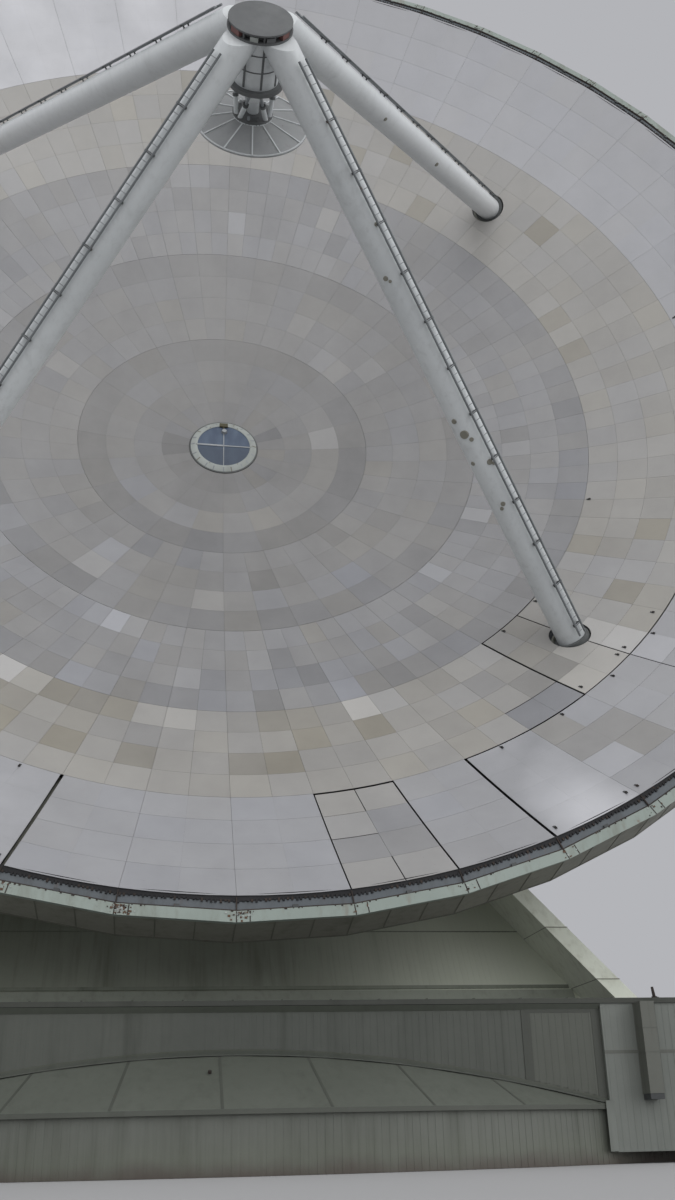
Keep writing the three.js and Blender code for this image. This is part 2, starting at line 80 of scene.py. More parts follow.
# Dish: a paraboloid, measured from the elevation axis along the dish axis
VERTEX_OUT = 6.0
FOCAL_LENGTH = 17.5
RING_EDGES = (1.57, 6.54, 11.35, 16.06, 20.58, 25.0)
RING_SEGMENTS = (12, 24, 48, 48, 48)
ROWS = 4
RIM_SIDES = 48
RIM_STEP = 360 / RIM_SIDES
SEGMENT_DEPTH = 0.32
SIDE_WALL = Sizes(radius=25.68, depth=1.88, seat=0.34)
BACKING_HUB = Sizes(radius=7.0, z=2.5)
BAND = Sizes(inner=25.04, outer=25.44, front=-0.06)
FASCIA_EDGE = Sizes(foot=25.7, outer=25.78, front=0.02)

# Feed legs and apex
LEG = Sizes(radius=0.545, hole=0.76, root=0.85, long=24, foot=18.3, top=(0.27, 20.5))
LEG_COLLAR = Sizes(radius=0.69, reach=-0.12)
LEG_TURNS = {"lower_right": 45, "upper_right": 135, "upper_left": 225, "lower_left": 315}
PLATFORM = Sizes(radius=1.08, z0=20.1, z1=20.42)
CAN = Sizes(radius=0.78, z0=18.32)

chance = random.Random(50)


# Shader graphs

class Value:
    """A shader socket. Arithmetic on it adds Math nodes to its finish."""

    def __init__(self, finish, socket):
        self.finish = finish
        self.socket = socket

    def _math(self, operation, first, second):
        return self.finish.node("Math", {"operation": operation}, {0: first, 1: second})

    def __add__(self, other):
        return self._math("ADD", self, other)

    def __sub__(self, other):
        return self._math("SUBTRACT", self, other)

    def __rsub__(self, other):
        return self._math("SUBTRACT", other, self)

    def __mul__(self, other):
        return self._math("MULTIPLY", self, other)

    __radd__ = __add__
    __rmul__ = __mul__

    def most(self, other):
        return self._math("MAXIMUM", self, other)

    def between(self, low, high):
        """0 below low, 1 above high, smooth between them."""
        ends = {"Value": self, "From Min": low, "From Max": high}
        return self.finish.node("MapRange", {"interpolation_type": "SMOOTHSTEP"}, ends)


def linear(step):
    """The light of one of the 0 to 255 steps of a screen."""
    share = step / 255
    return share / 12.92 if share < 0.0404 else ((share + 0.055) / 1.055) ** 2.4


class Finish:
    """A material under construction. Colours are in the 0 to 255 steps of a screen."""

    def __init__(self, name, metallic=0.0, roughness=0.6):
        self.material = bpy.data.materials.new(name)
        self.material.use_nodes = True
        self.tree = self.material.node_tree
        self.shader = self.tree.nodes["Principled BSDF"]
        self.shader.inputs["Metallic"].default_value = metallic
        self.shader.inputs["Roughness"].default_value = roughness
        self.place = self.node("TexCoord", output="Object")

    def node(self, kind, settings=(), inputs=(), output=0):
        made = self.tree.nodes.new("ShaderNode" + kind)
        for name, value in dict(settings).items():
            setattr(made, name, value)
        for name, value in dict(inputs).items():
            self.feed(made.inputs[name], value)
        return Value(self, made.outputs[output])

    def feed(self, socket, value):
        if isinstance(value, Value):
            self.tree.links.new(value.socket, socket)
        else:
            socket.default_value = value

    def noise(self, scale, detail=3.0, rough=0.55, stretch=None):
        at = self.place
        if stretch:
            at = self.node("Mapping", inputs={"Vector": at, "Scale": stretch})
        inputs = {"Vector": at, "Scale": scale, "Detail": detail, "Roughness": rough}
        return self.node("TexNoise", inputs=inputs)

    def specks(self, scale, low, high):
        """1 in spots about the centres of cells, 0 between them."""
        inputs = {"Vector": self.place, "Scale": scale}
        return 1.0 - self.node("TexVoronoi", inputs=inputs, output="Distance").between(low, high)

    def along(self, axis):
        return self.node("SeparateXYZ", inputs={"Vector": self.place}, output=axis)

    def attribute(self, name):
        return self.node("Attribute", {"attribute_name": name}, output="Fac")

    def blend(self, first, second, factor):
        ends = [end if isinstance(end, Value) else (*map(linear, end), 1.0) for end in (first, second)]
        return self.node("Mix", {"data_type": "RGBA"}, {0: factor, 6: ends[0], 7: ends[1]}, 2)

    def bump(self, height, distance, strength=0.5):
        inputs = {"Height": height, "Distance": distance, "Strength": strength}
        self.feed(self.shader.inputs["Normal"], self.node("Bump", inputs=inputs))

    def done(self, colour, roughness=None):
        self.feed(self.shader.inputs["Base Color"], colour)
        if roughness is not None:
            self.feed(self.shader.inputs["Roughness"], roughness)
        return self.material


DOWNWARD = (1.0, 1.0, 0.06)


def weathered(name, light, deep, stain, streaks=0.4, metallic=0.0, roughness=0.55, run=DOWNWARD, extra=None):
    """Painted sheet: broad patches, dirt that runs along it, and a fine grain."""
    finish = Finish(name, metallic)
    patches = finish.noise(0.35, 4.0).between(0.3, 0.7)
    mottle = finish.noise(6.0, 5.0, 0.65)
    dirt = finish.noise(2.4, 4.0, 0.6, run).between(0.5, 0.82)
    thin = finish.noise(9.0, 3.0, 0.6, run).between(0.48, 0.75)
    colour = finish.blend(light, deep, patches * 0.6 + mottle * 0.35)
    colour = finish.blend(colour, stain, (dirt + thin * 0.6) * streaks)
    if extra:
        colour = extra(finish, colour)
    finish.bump(finish.noise(30.0) + dirt * 0.3, 0.0015, 0.6)
    return finish.done(colour, 0.12 * mottle + dirt * 0.15 + (roughness - 0.08))


def splashed(finish, colour):
    """Dirt thrown up from the ground, and green growth above it."""
    level = finish.along("Z") + finish.noise(1.6, 4.0) * 0.35
    mud = 1.0 - level.between(0.12, 0.42)
    growth = 1.0 - level.between(0.3, 0.75)
    colour = finish.blend(colour, (96, 100, 84), growth * 0.35)
    return finish.blend(colour, (70, 60, 54), mud * 0.85)


def rust_spots(scale, amount):
    def spotted(finish, colour):
        where = finish.noise(1.1).between(0.5, 0.62)
        runs = finish.noise(5.0, 3.0, 0.6, DOWNWARD).between(0.62, 0.75)
        rust = (finish.specks(scale, 0.03, 0.12) * where).most(runs * 0.35) * amount
        return finish.blend(colour, (112, 68, 40), rust)
    return spotted


def painted_light_towards(axis, low, high, tint, most):
    """Painted light: paint that is paler towards the end of an axis, in metres of the model."""
    def lightened(finish, colour):
        return finish.blend(colour, tint, finish.along(axis).between(low, high) * most)
    return lightened


TILE_STEPS = (90, 230)


def tiles(name, polish):
    """Reflector sheet. Each tile's own tone and warmth are attributes of its faces; the tone also holds
    painted light, paler towards the dish's top.
    """
    finish = Finish(name, 0.15 + 0.35 * polish)
    tone, warmth = finish.attribute("tone"), finish.attribute("warmth")
    cloud = finish.noise(1.3, 5.0, 0.62)
    wash = finish.noise(0.9, 3.0, 0.55, (1.0, 1.0, 0.25))
    # Painted highlight and sheen on polished sheets: broad bright patches, plus a highlight per vertex that
    # is strongest at each polished segment's outer edge.
    painted_sheen = finish.noise(0.55, 3.0, 0.5, (1.0, 1.0, 1.4)) * 0.24 + finish.attribute("painted_highlight") * 0.25
    spread = 0.13 + 0.06 * polish
    level = tone + cloud * spread + wash * 0.08 + painted_sheen * polish - (0.105 + 0.14 * polish)
    low, high = TILE_STEPS
    cool = finish.blend((low - 2, low, low + 5), (high - 3, high - 1, high + 7), level)
    warm = finish.blend((low + 4, low, low - 9), (high + 5, high - 1, high - 17), level)
    colour = finish.blend(cool, warm, warmth)
    colour = finish.blend(colour, (104, 98, 88), finish.specks(9.0, 0.02, 0.07) * 0.5)
    fine = finish.noise(50.0, 2.0, 0.5, (1.0, 1.0, 0.15))
    finish.bump(cloud * 0.6 + fine * 0.06, 0.004)
    return finish.done(colour, cloud * 0.22 + fine * 0.08 + (0.36 - polish * 0.16))


def bare(name, light, deep, roughness=0.6, metallic=0.1):
    """Steel or thick paint, mottled, with a little rust."""
    finish = Finish(name, metallic)
    mottle = finish.noise(7.0, 5.0, 0.65)
    wear = finish.noise(1.2, 4.0).between(0.45, 0.7)
    rust = finish.noise(3.1, 4.0, 0.7).between(0.62, 0.74)
    colour = finish.blend(deep, light, mottle * 0.6 + wear * 0.3)
    colour = finish.blend(colour, (92, 62, 44), rust * 0.6)
    finish.bump(mottle, 0.002)
    return finish.done(colour, 0.25 * mottle + (roughness - 0.12))


def membrane(name):
    """The vertex window's blue cloth, with soft creases and a darker lower half."""
    finish = Finish(name)
    creases = finish.noise(3.0, 3.0, 0.5, (1.0, 1.0, 0.4))
    colour = finish.blend((60, 76, 100), (88, 104, 124), creases.between(0.3, 0.7))
    colour = finish.blend(colour, (60, 72, 90), finish.noise(60.0, 2.0) * 0.3)
    lower_half = 1.0 - finish.along("Z").between(14.84, 15.06)
    colour = finish.blend(colour, (52, 62, 76), lower_half * 0.6)
    finish.bump(creases, 0.03)
    return finish.done(colour, creases * 0.25 + 0.3)


# The base's cladding is one pale paint, like the hips'. The copies below are darkened by painted shade under
# the dish: the walls most, the reveal next, then the tower and the gables.
def gable_sheet(name, run, extra=None):
    return weathered(name, (158, 163, 150), (134, 138, 126), (90, 93, 80), 0.45, run=run, extra=extra)


# Walls, tower and reveal: the pale cladding darkened as painted shade, the tower least as the dish's shade
# thins there.
SHADED_WALL_SHEET = weathered("shaded_wall_sheet", (80, 83, 76), (63, 67, 61), (46, 50, 42), 0.5)
TOWER_SHEET = weathered("tower_sheet", (116, 120, 114), (98, 102, 97), (72, 76, 68))
REVEAL = weathered("reveal_sheet", (84, 87, 79), (70, 73, 66), (52, 55, 46))
FOUNDATION = weathered("foundation_sheet", (104, 107, 100), (86, 89, 82), (60, 64, 54), 0.5, extra=splashed)
SKIRT = weathered("skirt_sheet", (100, 104, 96), (84, 88, 80), (62, 66, 57), 0.35, run=(1.0, 0.35, 1.0))
TRIM = weathered("trim_sheet", (172, 177, 173), (148, 153, 149), (104, 106, 97), 0.35)
CURB = weathered("curb_sheet", (162, 167, 156), (142, 147, 136), (96, 100, 87), 0.35)
DUCT_SHEET = weathered("duct_sheet", (96, 98, 91), (82, 84, 77), (58, 60, 51), 0.35)
FLASHING = weathered("flashing_sheet", (84, 87, 78), (68, 71, 63), (50, 52, 44))
# The roof slab, seen by its edge: dark flashing paint, darkened further as painted shade under the dish.
ROOF_EDGE = weathered("roof_edge_sheet", (56, 59, 51), (45, 48, 42), (36, 38, 32))
ROOF = weathered("roof_sheet_paint", (104, 107, 99), (88, 91, 84), (64, 67, 58), 0.35)
# Frames round the reveal: dark flashing, darkened further as painted shade of the recess's jambs.
REVEAL_FRAME = weathered("reveal_frame_sheet", (66, 69, 62), (54, 57, 50), (42, 44, 37))
GABLE_LINE = weathered("gable_line_sheet", (142, 147, 135), (122, 127, 115), (86, 90, 78))
# The gable ends are paler towards +X: painted light from the side where the dish shades them less.
GABLE_END = gable_sheet("gable_end_sheet", (1.0, 0.06, 0.06), painted_light_towards("X", 0.5, 5.5, (222, 227, 211), 0.8))
GABLE_SIDE = gable_sheet("gable_side_sheet", (0.06, 1.0, 0.06))
HIP = weathered("hip_paint", (228, 232, 219), (206, 210, 196), (150, 150, 130), extra=rust_spots(2.4, 0.4))
STEEL = weathered("steel_paint", (196, 198, 192), (172, 175, 169), (120, 120, 110), 0.35,
                  metallic=0.1, roughness=0.45, extra=rust_spots(3.0, 0.35))
# The legs are paler towards their tops: painted light.
LEG_PAINT = weathered("leg_paint", (216, 220, 221), (196, 200, 201), (150, 152, 151), 0.3, metallic=0.1,
                      roughness=0.42, extra=painted_light_towards("Z", 14.0, 25.0, (246, 248, 249), 0.75))
BACKING = weathered("backing_sheet", (136, 136, 126), (113, 113, 104), (81, 80, 69))
RIM_STEEL = weathered("rim_steel", (91, 97, 101), (76, 82, 87), (58, 56, 52), 0.55,
                      metallic=0.15, roughness=0.5, extra=rust_spots(2.2, 0.6))
FASCIA = weathered("fascia_paint", (147, 157, 150), (131, 142, 135), (102, 98, 83), 0.45,
                   extra=rust_spots(4.0, 0.75))
DARK = bare("dark_steel", (96, 98, 98), (52, 54, 55), 0.6, 0.4)
RUSTY = bare("rusty_steel", (70, 58, 50), (34, 31, 30), 0.8)
SHADE = bare("subframe_shade", (44, 44, 46), (24, 24, 26), 0.8)
HIP_SEAM = bare("hip_seam_sheet", (140, 140, 127), (112, 112, 99))
SKIRT_SEAM = bare("skirt_seam_sheet", (88, 91, 84), (70, 73, 66))
SOFT_SEAM = bare("soft_seam_sheet", (116, 116, 107), (92, 92, 84))
PLATE = bare("leg_plate_paint", (148, 147, 137), (120, 118, 107))
# The collars are darker than the legs; at the legs' feet this darkness is partly painted shade of the holes
# round them.
COLLAR = bare("leg_collar_steel", (116, 118, 117), (84, 87, 87), 0.6, 0.2)
LADDER_RAIL = bare("ladder_rail_steel", (134, 138, 140), (100, 104, 106), 0.5, 0.3)
FLAKE = bare("rust_flakes", (112, 84, 64), (74, 58, 48), 0.85, 0.0)
APEX_STEEL = bare("apex_steel", (126, 128, 128), (86, 88, 89), 0.6, 0.3)
OLIVE = bare("olive_box", (104, 98, 66), (66, 62, 44))
RUST_RED = bare("red_primer", (140, 98, 92), (104, 74, 72), 0.65)
RAIL = bare("galvanised_rail", (176, 180, 182), (128, 132, 135), 0.45, 0.4)
MIRROR_BACK = bare("mirror_back", (172, 174, 174), (140, 142, 143), 0.5, 0.2)
WINDOW = membrane("window_membrane")
TILE = tiles("tile_sheet", 0.0)
POLISHED = tiles("polished_tile_sheet", 1.0)


# Shapes

@contextmanager
def piece(name, body, slot, finishes, stands_for=None, smooth=None, place=None, twice=False):
    """Opens a mesh to be filled, then makes it a piece that rides on a body."""
    bm = bmesh.new()
    yield bm
    if twice:
        bmesh.ops.spin(bm, geom=[*bm.verts, *bm.edges, *bm.faces], cent=(0, 0, 0), axis=UP,
                       angle=math.pi, steps=1, use_duplicate=True)
    bmesh.ops.recalc_face_normals(bm, faces=bm.faces)
    bm.transform(place or FRAMES[body])
    mesh = bpy.data.meshes.new(name)
    bm.to_mesh(mesh)
    bm.free()
    for finish in finishes:
        mesh.materials.append(finish)
    if smooth:
        mesh.shade_smooth()
        mesh.set_sharp_from_angle(angle=math.radians(smooth))
    made = bpy.data.objects.new(name, mesh)
    bpy.context.scene.collection.objects.link(made)
    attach(made, body)
    if stands_for:
        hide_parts(stands_for)


def give(faces, finish):
    for face in faces:
        face.material_index = finish
        face.tag = True


def give_rest(bm, finish):
    """Gives a finish to the faces that have none yet."""
    give([face for face in bm.faces if not face.tag], finish)


def faces_of(verts):
    return list(dict.fromkeys(face for vert in verts for face in vert.link_faces))


def block(bm, corner, opposite, finish=0):
    ends = list(zip(corner, opposite))
    low, high = Vector(map(min, ends)), Vector(map(max, ends))
    size = Matrix.Diagonal((*(high - low), 1))
    made = bmesh.ops.create_cube(bm, size=1, matrix=Matrix.Translation((low + high) / 2) @ size)
    give(faces_of(made["verts"]), finish)


def beam(bm, start, end, width, depth, out=UP, finish=0):
    """A flat bar between two points. Its depth is along out, its width across."""
    start, end = Vector(start), Vector(end)
    along = (end - start).normalized()
    across = along.cross(Vector(out)).normalized()
    frame_of_bar = Matrix((across, along, across.cross(along))).transposed().to_4x4()
    frame_of_bar.translation = (start + end) / 2
    size = Matrix.Diagonal((width, (end - start).length, depth, 1))
    made = bmesh.ops.create_cube(bm, size=1, matrix=frame_of_bar @ size)
    give(faces_of(made["verts"]), finish)


def rod(bm, start, end, radius, sides=8, finish=0, tip=None):
    start, end = Vector(start), Vector(end)
    turn = (end - start).to_track_quat("Z", "Y").to_matrix().to_4x4()
    made = bmesh.ops.create_cone(
        bm, cap_ends=True, segments=sides, radius1=radius, radius2=radius if tip is None else tip,
        depth=(end - start).length, matrix=Matrix.Translation((start + end) / 2) @ turn)
    give(faces_of(made["verts"]), finish)


def about(turn_deg, radius, height):
    """A point at an angle from the dish's lowest side, or from the front of the base."""
    turn = math.radians(turn_deg)
    return Vector((radius * math.sin(turn), -radius * math.cos(turn), height))


def angles(count, first=0.0):
    """The angles of equal steps all the way round, in degrees."""
    return [first + step * 360 / count for step in range(count)]


def disc(bm, low, high, radius, sides, finish=0):
    """A round part on the Z axis."""
    rod(bm, (0, 0, low), (0, 0, high), radius, sides, finish)


def peg(bm, foot, high, radius, sides=8, finish=0):
    rod(bm, foot, foot + Vector((0, 0, high)), radius, sides, finish)


def turned(bm, outline, sides, finish=0, closed=True):
    """Turns (radius, height) points about Z: a closed outline, or one from axis to axis."""
    points = [bm.verts.new(about(0, *point)) for point in outline]
    after = points[1:] + points[:1] if closed else points[1:]
    edges = [bm.edges.new(pair) for pair in zip(points, after)]
    bmesh.ops.spin(bm, geom=points + edges, cent=(0, 0, 0), axis=UP, angle=math.tau, steps=sides,
                   use_merge=True)
    if not closed:
        bmesh.ops.remove_doubles(bm, verts=bm.verts, dist=1e-5)
    give_rest(bm, finish)


def hoop(bm, radii, heights, sides, finish=0):
    (inner, outer), (low, high) = radii, heights
    turned(bm, [(inner, low), (outer, low), (outer, high), (inner, high)], sides, finish)


def plate(bm, steps, front, back, finish=0):
    """A curved plate. front(u, v) places its face, u and v from 0 to 1. back does the
    same for its other face, or is the way from the one to the other."""
    grid = bmesh.ops.create_grid(bm, x_segments=steps[0], y_segments=steps[1], size=0.5)["verts"]
    grown = bmesh.ops.extrude_face_region(bm, geom=faces_of(grid), use_keep_orig=True)["geom"]
    under = [part for part in grown if isinstance(part, bmesh.types.BMVert)]
    for vert in under:
        u, v = vert.co.x + 0.5, vert.co.y + 0.5
        vert.co = back(u, v) if callable(back) else front(u, v) + Vector(back)
    for vert in grid:
        vert.co = front(vert.co.x + 0.5, vert.co.y + 0.5)
    faces = faces_of(grid + under)
    give(faces, finish)
    return faces


def dish_height(radius):
    return VERTEX_OUT + radius ** 2 / (4 * FOCAL_LENGTH)


def polygon(turn_deg, radius, height):
    """A point at an angle on a ring that is straight between the dish's 48 corners."""
    half = math.radians(RIM_STEP / 2)
    off = math.radians(turn_deg % RIM_STEP) - half
    return about(turn_deg, radius * math.cos(half) / math.cos(off), height)


def bored(name, rods):
    """Cuts round holes in a finished piece."""
    made = bpy.data.objects[name]
    bm = bmesh.new()
    for start, end, radius in rods:
        rod(bm, start, end, radius, 32)
    bm.transform(DISH)
    cutter_mesh = bpy.data.meshes.new("cutter")
    bm.to_mesh(cutter_mesh)
    bm.free()
    cutter = bpy.data.objects.new("cutter", cutter_mesh)
    bpy.context.scene.collection.objects.link(cutter)
    cut = made.modifiers.new("holes", "BOOLEAN")
    cut.operation = "DIFFERENCE"
    cut.solver = "EXACT"
    cut.object = cutter
    bored_now = made.evaluated_get(bpy.context.evaluated_depsgraph_get())
    whole = made.data
    made.data = bpy.data.meshes.new_from_object(bored_now)
    made.modifiers.clear()
    bpy.data.objects.remove(cutter)
    for used in (whole, cutter_mesh):
        bpy.data.meshes.remove(used)


# The reflector: segments of two columns and four rows of sheet on dark subframes

RING_GAP = 0.005
SEGMENT_GAP = {1: 0.004, 2: 0.006, 3: 0.008, 4: 0.008, 5: 0.008}
SHEET = 0.02
SUBFRAME = Sizes(inset=0.05, under=0.06, clear=0.002)
JOINT = {1: 0.0025, 2: 0.004, 3: 0.005, 4: 0.006, 5: 0.006}
TIGHT_JOINT = 0.0015
# Wider gaps before a segment, on its inner side, between its columns and above a row
GAPS = {(5, -2): 0.115, (5, 1): 0.045, (5, 2): 0.06, (5, 3): 0.1, (5, 6): 0.04,
        (4, 5): 0.08, (4, 6): 0.05}
INNER_GAPS = {(5, 1): 0.07, (5, 3): 0.04, (5, 4): 0.045, (5, 5): 0.03, (5, 6): 0.035, (5, 7): 0.035,
              (5, 8): 0.025, (4, 5): 0.03, (4, 6): 0.03}
COLUMN_JOINTS = {(1, 0): 0.03, (1, 1): 0.008, (1, 2): 0.008, (1, 3): 0.035}
ROW_JOINTS = {(5, 1, 0, 1): 0.014, (5, 1, 0, 2): 0.028, (4, 4, 0, 3): 0.03, (4, 4, 1, 3): 0.025}
# Each ring's tone in the 0 to 255 steps of a screen, its warmth and how far its tiles differ
RING_LEVEL = {1: 135, 2: 141, 3: 146, 4: 153, 5: 160}
RING_WARMTH = {1: 0.42, 2: 0.42, 3: 0.33, 4: 0.56, 5: 0.2}
RING_SPREAD = {1: 2.0, 2: 2.3, 3: 3.0, 4: 3.4, 5: 0.9}
# How each row, from the vertex outwards, differs from its ring
ROW_STEPS = {1: (-8, -1, 7, -5), 2: (-1, 0, 3, -5), 3: (1, -1, 0, -6), 4: (0, 1, 0, 5), 5: (0, 0, 0, -2)}
# How much paler a ring's sheets are at the dish's top than at its foot, as painted light
PAINTED_TOP_LIGHT = {1: 1, 2: 3, 3: 8, 4: 16, 5: 27}
POLISH_LIFT = 15
# What time and repairs did to a sheet, and the painted shadow of a leg on a few: its step in tone and in
# warmth
KINDS = {"renewed": (28, -0.1), "bright": (14, -0.05), "clean": (8, -0.05), "dull_and_leg_shadow": (-10, 0),
         "brown": (-11, 0.3), "grey": (-17, -0.4), "beige": (-2, 0.26), "worn": (-15, 0.05)}
# Sheets that stand out, by ring, segment, column and row
SHEETS = {
    "renewed": [(3, -3, 0, 0), (4, 2, 0, 0), (4, -4, 0, 0), (4, 6, 0, 3), (4, 6, 0, 2)],
    "bright": [(1, 3, 0, 2), (2, -3, 1, 1), (2, -3, 1, 2), (4, -4, 1, 0), (4, -2, 1, 0),
               (4, -1, 0, 0), (4, 2, 1, 0), (4, 5, 0, 3), (4, 5, 1, 3), (4, 5, 1, 2),
               (5, 6, 0, 0), (3, 2, 0, 3), (4, 4, 0, 0)],
    "clean": [(2, -2, 0, 3), (2, -4, 0, 3), (3, -3, 1, 0), (3, -3, 0, 3), (3, 1, 0, 3),
              (3, 3, 1, 2), (3, 6, 0, 0), (3, 14, 0, 0), (3, -1, 0, 2), (4, 4, 1, 0),
              (4, 2, 1, 2), (5, 4, 0, 2)],
    # Dull sheets; those of segment 5 in ring 4, about the lower right leg's foot, are darker also as painted
    # shadow of the leg.
    "dull_and_leg_shadow": [(1, 3, 1, 0), (1, -4, 1, 0), (1, -3, 0, 0), (3, 0, 1, 3), (3, 1, 0, 1), (3, 1, 0, 2),
             (3, 1, 1, 2), (4, 0, 0, 0), (4, 5, 0, 0), (4, 5, 1, 0), (4, 5, 0, 1), (4, 5, 1, 1),
             (4, 5, 0, 2), (4, 4, 1, 2)],
    "brown": [(4, -3, 0, 0), (4, -3, 1, 0), (4, -2, 0, 0), (4, 0, 1, 0), (4, 1, 0, 0),
              (4, -4, 1, 1), (4, 1, 0, 1), (4, -3, 1, 2), (4, -2, 1, 2), (4, 0, 0, 2),
              (4, 0, 1, 2), (5, 4, 0, 0), (5, 4, 0, 1), (5, 4, 1, 1), (5, 4, 1, 2)],
    "grey": [(4, 4, 0, 3), (4, 4, 1, 3)],
    "beige": [(5, 1, 0, 0), (5, 1, 1, 0), (5, 1, 0, 1), (5, 1, 0, 3), (5, 1, 1, 3)],
    "worn": [(5, 1, 1, 1), (5, 1, 0, 2), (5, 1, 1, 2)],
}
KIND_OF = {sheet: KINDS[kind] for kind, sheets in SHEETS.items() for sheet in sheets}


def is_polished(ring, index):
    return ring == 5 and (index == 3 or index < -2)


def tile_look(ring, index, column, row):
    """A tile's tone, warmth and finish, 0 for weathered sheet and 1 for polished."""
    polished = is_polished(ring, index)
    top = (1 - math.cos(math.radians((index + 0.5) * 360 / RING_SEGMENTS[ring - 1]))) / 2
    spread = 0.15 if polished else 1 - 0.5 * top
    level = RING_LEVEL[ring] + chance.gauss(0, RING_SPREAD[ring]) * spread
    level += ROW_STEPS[ring][row] * (1 - 0.75 * top)
    warmth = RING_WARMTH[ring] + chance.gauss(0, 0.1 if ring < 5 else 0.05) * spread
    odd = chance.random()
    if (ring, index, column, row) in KIND_OF:
        step, warmer = KIND_OF[ring, index, column, row]
        level, warmth = level + step, warmth + warmer
    elif ring == 4 and odd < 0.07:
        level, warmth = level + KINDS["brown"][0], warmth + KINDS["brown"][1]
    elif ring in (2, 3) and odd < 0.08:
        level += chance.choice((-8, 8))
    # Painted light: sheets are paler towards the dish's top.
    level += POLISH_LIFT * polished + PAINTED_TOP_LIGHT[ring] * top * (1 - 0.6 * polished)
    dark, light = map(linear, TILE_STEPS)
    return (linear(level) - dark) / (light - dark), min(max(warmth, 0), 1), int(polished)


def painted_highlight(index, place):
    """The painted highlight of a polished segment: strongest at the middle of its outer edge."""
    across = 2 * (math.degrees(math.atan2(place.x, -place.y)) / RIM_STEP - index) - 1
    out = min(max((math.hypot(place.x, place.y) - 21.3) / 3.2, 0), 1)
    return (1 - across ** 2) * out ** 2 * (3 - 2 * out) * (1 if index > 0 else 0.4)


def column_joint(ring, index, row):
    return JOINT[ring] if ring < 5 else COLUMN_JOINTS.get((index, row), TIGHT_JOINT)


def row_joint(ring, index, column, row):
    """The joint on the inner side of a row."""
    if row in (0, ROWS):
        return 0
    joint = TIGHT_JOINT if is_polished(ring, index) else JOINT[ring]
    return ROW_JOINTS.get((ring, index, column, row), joint)


def carrier_height(radius):
    """The face of the backing that carries the segments, straight across each ring."""
    ring = next(i for i, edge in enumerate(RING_EDGES) if edge >= radius or i == 5)
    a, b = RING_EDGES[max(ring, 1) - 1], RING_EDGES[max(ring, 1)]
    low, high = dish_height(a), dish_height(b)
    return low + (high - low) * (radius - a) / (b - a) - SEGMENT_DEPTH


def sector(bm, steps, turns, radii, edges, heights, finish):
    """A plate between two angles, less an edge at each, and two radii. Its two faces
    have their heights over a radius."""
    def face(height):
        def at(u, v):
            radius = radii[0] + (radii[1] - radii[0]) * v
            left = math.radians(turns[0]) + edges[0] / radius
            right = math.radians(turns[1]) - edges[1] / radius
            return about(math.degrees(left + (right - left) * u), radius, height(radius))
        return at
    return plate(bm, steps, *map(face, heights), finish)


TILE_FACES = (dish_height, lambda radius: dish_height(radius) - SHEET)
SUBFRAME_FACES = (lambda radius: dish_height(radius) - SUBFRAME.under,
                  lambda radius: carrier_height(radius) + SUBFRAME.clear)


def reflector_ring(ring):
    segments = RING_SEGMENTS[ring - 1]
    step = 360 / segments
    inner, outer = RING_EDGES[ring - 1] + RING_GAP, RING_EDGES[ring] - RING_GAP
    across = 4 if ring == 1 else 2
    inset = SUBFRAME.inset
    with piece(f"reflector_ring_{ring}", "dish", "panel", (TILE, POLISHED, SHADE),
               f"panel_ring_{ring}", 30) as bm:
        tone_of = bm.faces.layers.float.new("tone")
        warmth_of = bm.faces.layers.float.new("warmth")
        painted_highlight_of = bm.verts.layers.float.new("painted_highlight")
        for index in range(-segments // 2, segments // 2):
            sides = [GAPS.get((ring, side), SEGMENT_GAP[ring]) / 2 for side in (index, index + 1)]
            top = inner + INNER_GAPS.get((ring, index), 0)
            rise = (outer - top) / ROWS
            for column, row in product((0, 1), range(ROWS)):
                start = (index + column / 2) * step
                joint = column_joint(ring, index, row) / 2
                edges = (sides[0], joint) if column == 0 else (joint, sides[1])
                near = top + rise * row + row_joint(ring, index, column, row) / 2
                far = top + rise * (row + 1) - row_joint(ring, index, column, row + 1) / 2
                tone, warmth, finish = tile_look(ring, index, column, row)
                steps = (4, 2) if finish else (across, 1)
                for face in sector(bm, steps, (start, start + step / 2), (near, far), edges,
                                   TILE_FACES, finish):
                    face[tone_of] = tone
                    face[warmth_of] = warmth
                    # Polished sheets carry the painted highlight at their vertices.
                    for vert in face.verts if finish else ():
                        vert[painted_highlight_of] = painted_highlight(index, vert.co)
            sector(bm, (across * 2, ROWS), (index * step, (index + 1) * step),
                   (top + inset, outer - inset), [side + inset for side in sides], SUBFRAME_FACES, 2)


# The rim

TEETH_A_SIDE = 26
RIM_SHADOW_STRIP = Sizes(radii=(24.97, 25.16), low=0.003, high=0.02)
TOOTH = Sizes(inner=25.12, outer=25.205, wide=0.06, deep=0.05, bent=(-0.03, 0.02), rusty=0.3)
BAND_JOINT = Sizes(wide=0.035, deep=0.05)
BAND_BOX = Sizes(half_deg=0.18, wide=0.09, deep=0.07)
FASCIA_JOINT = Sizes(turns=(0.0, 0.84), wide=0.03, deep=0.012)
JOINT_LINE = Sizes(inner=25.405, outer=25.446, low=-0.002, high=0.004, slope=0.03)
FLAKE_SIZES = (0.015, 0.04)
FLAKES_A_SIDE = 9
FLAKE_HIGH = 0.012
RUSTED_JOINTS = {-2: 18, -1: 60, 0: 34}
WALL_SEAM = Sizes(wide=0.035, deep=0.02, spare=0.02)


def flake(bm, turn, radius, height, long, wide, finish=0):
    start = polygon(turn, radius, height)
    beam(bm, start, start + about(turn, long, 0), wide, FLAKE_HIGH, UP, finish)


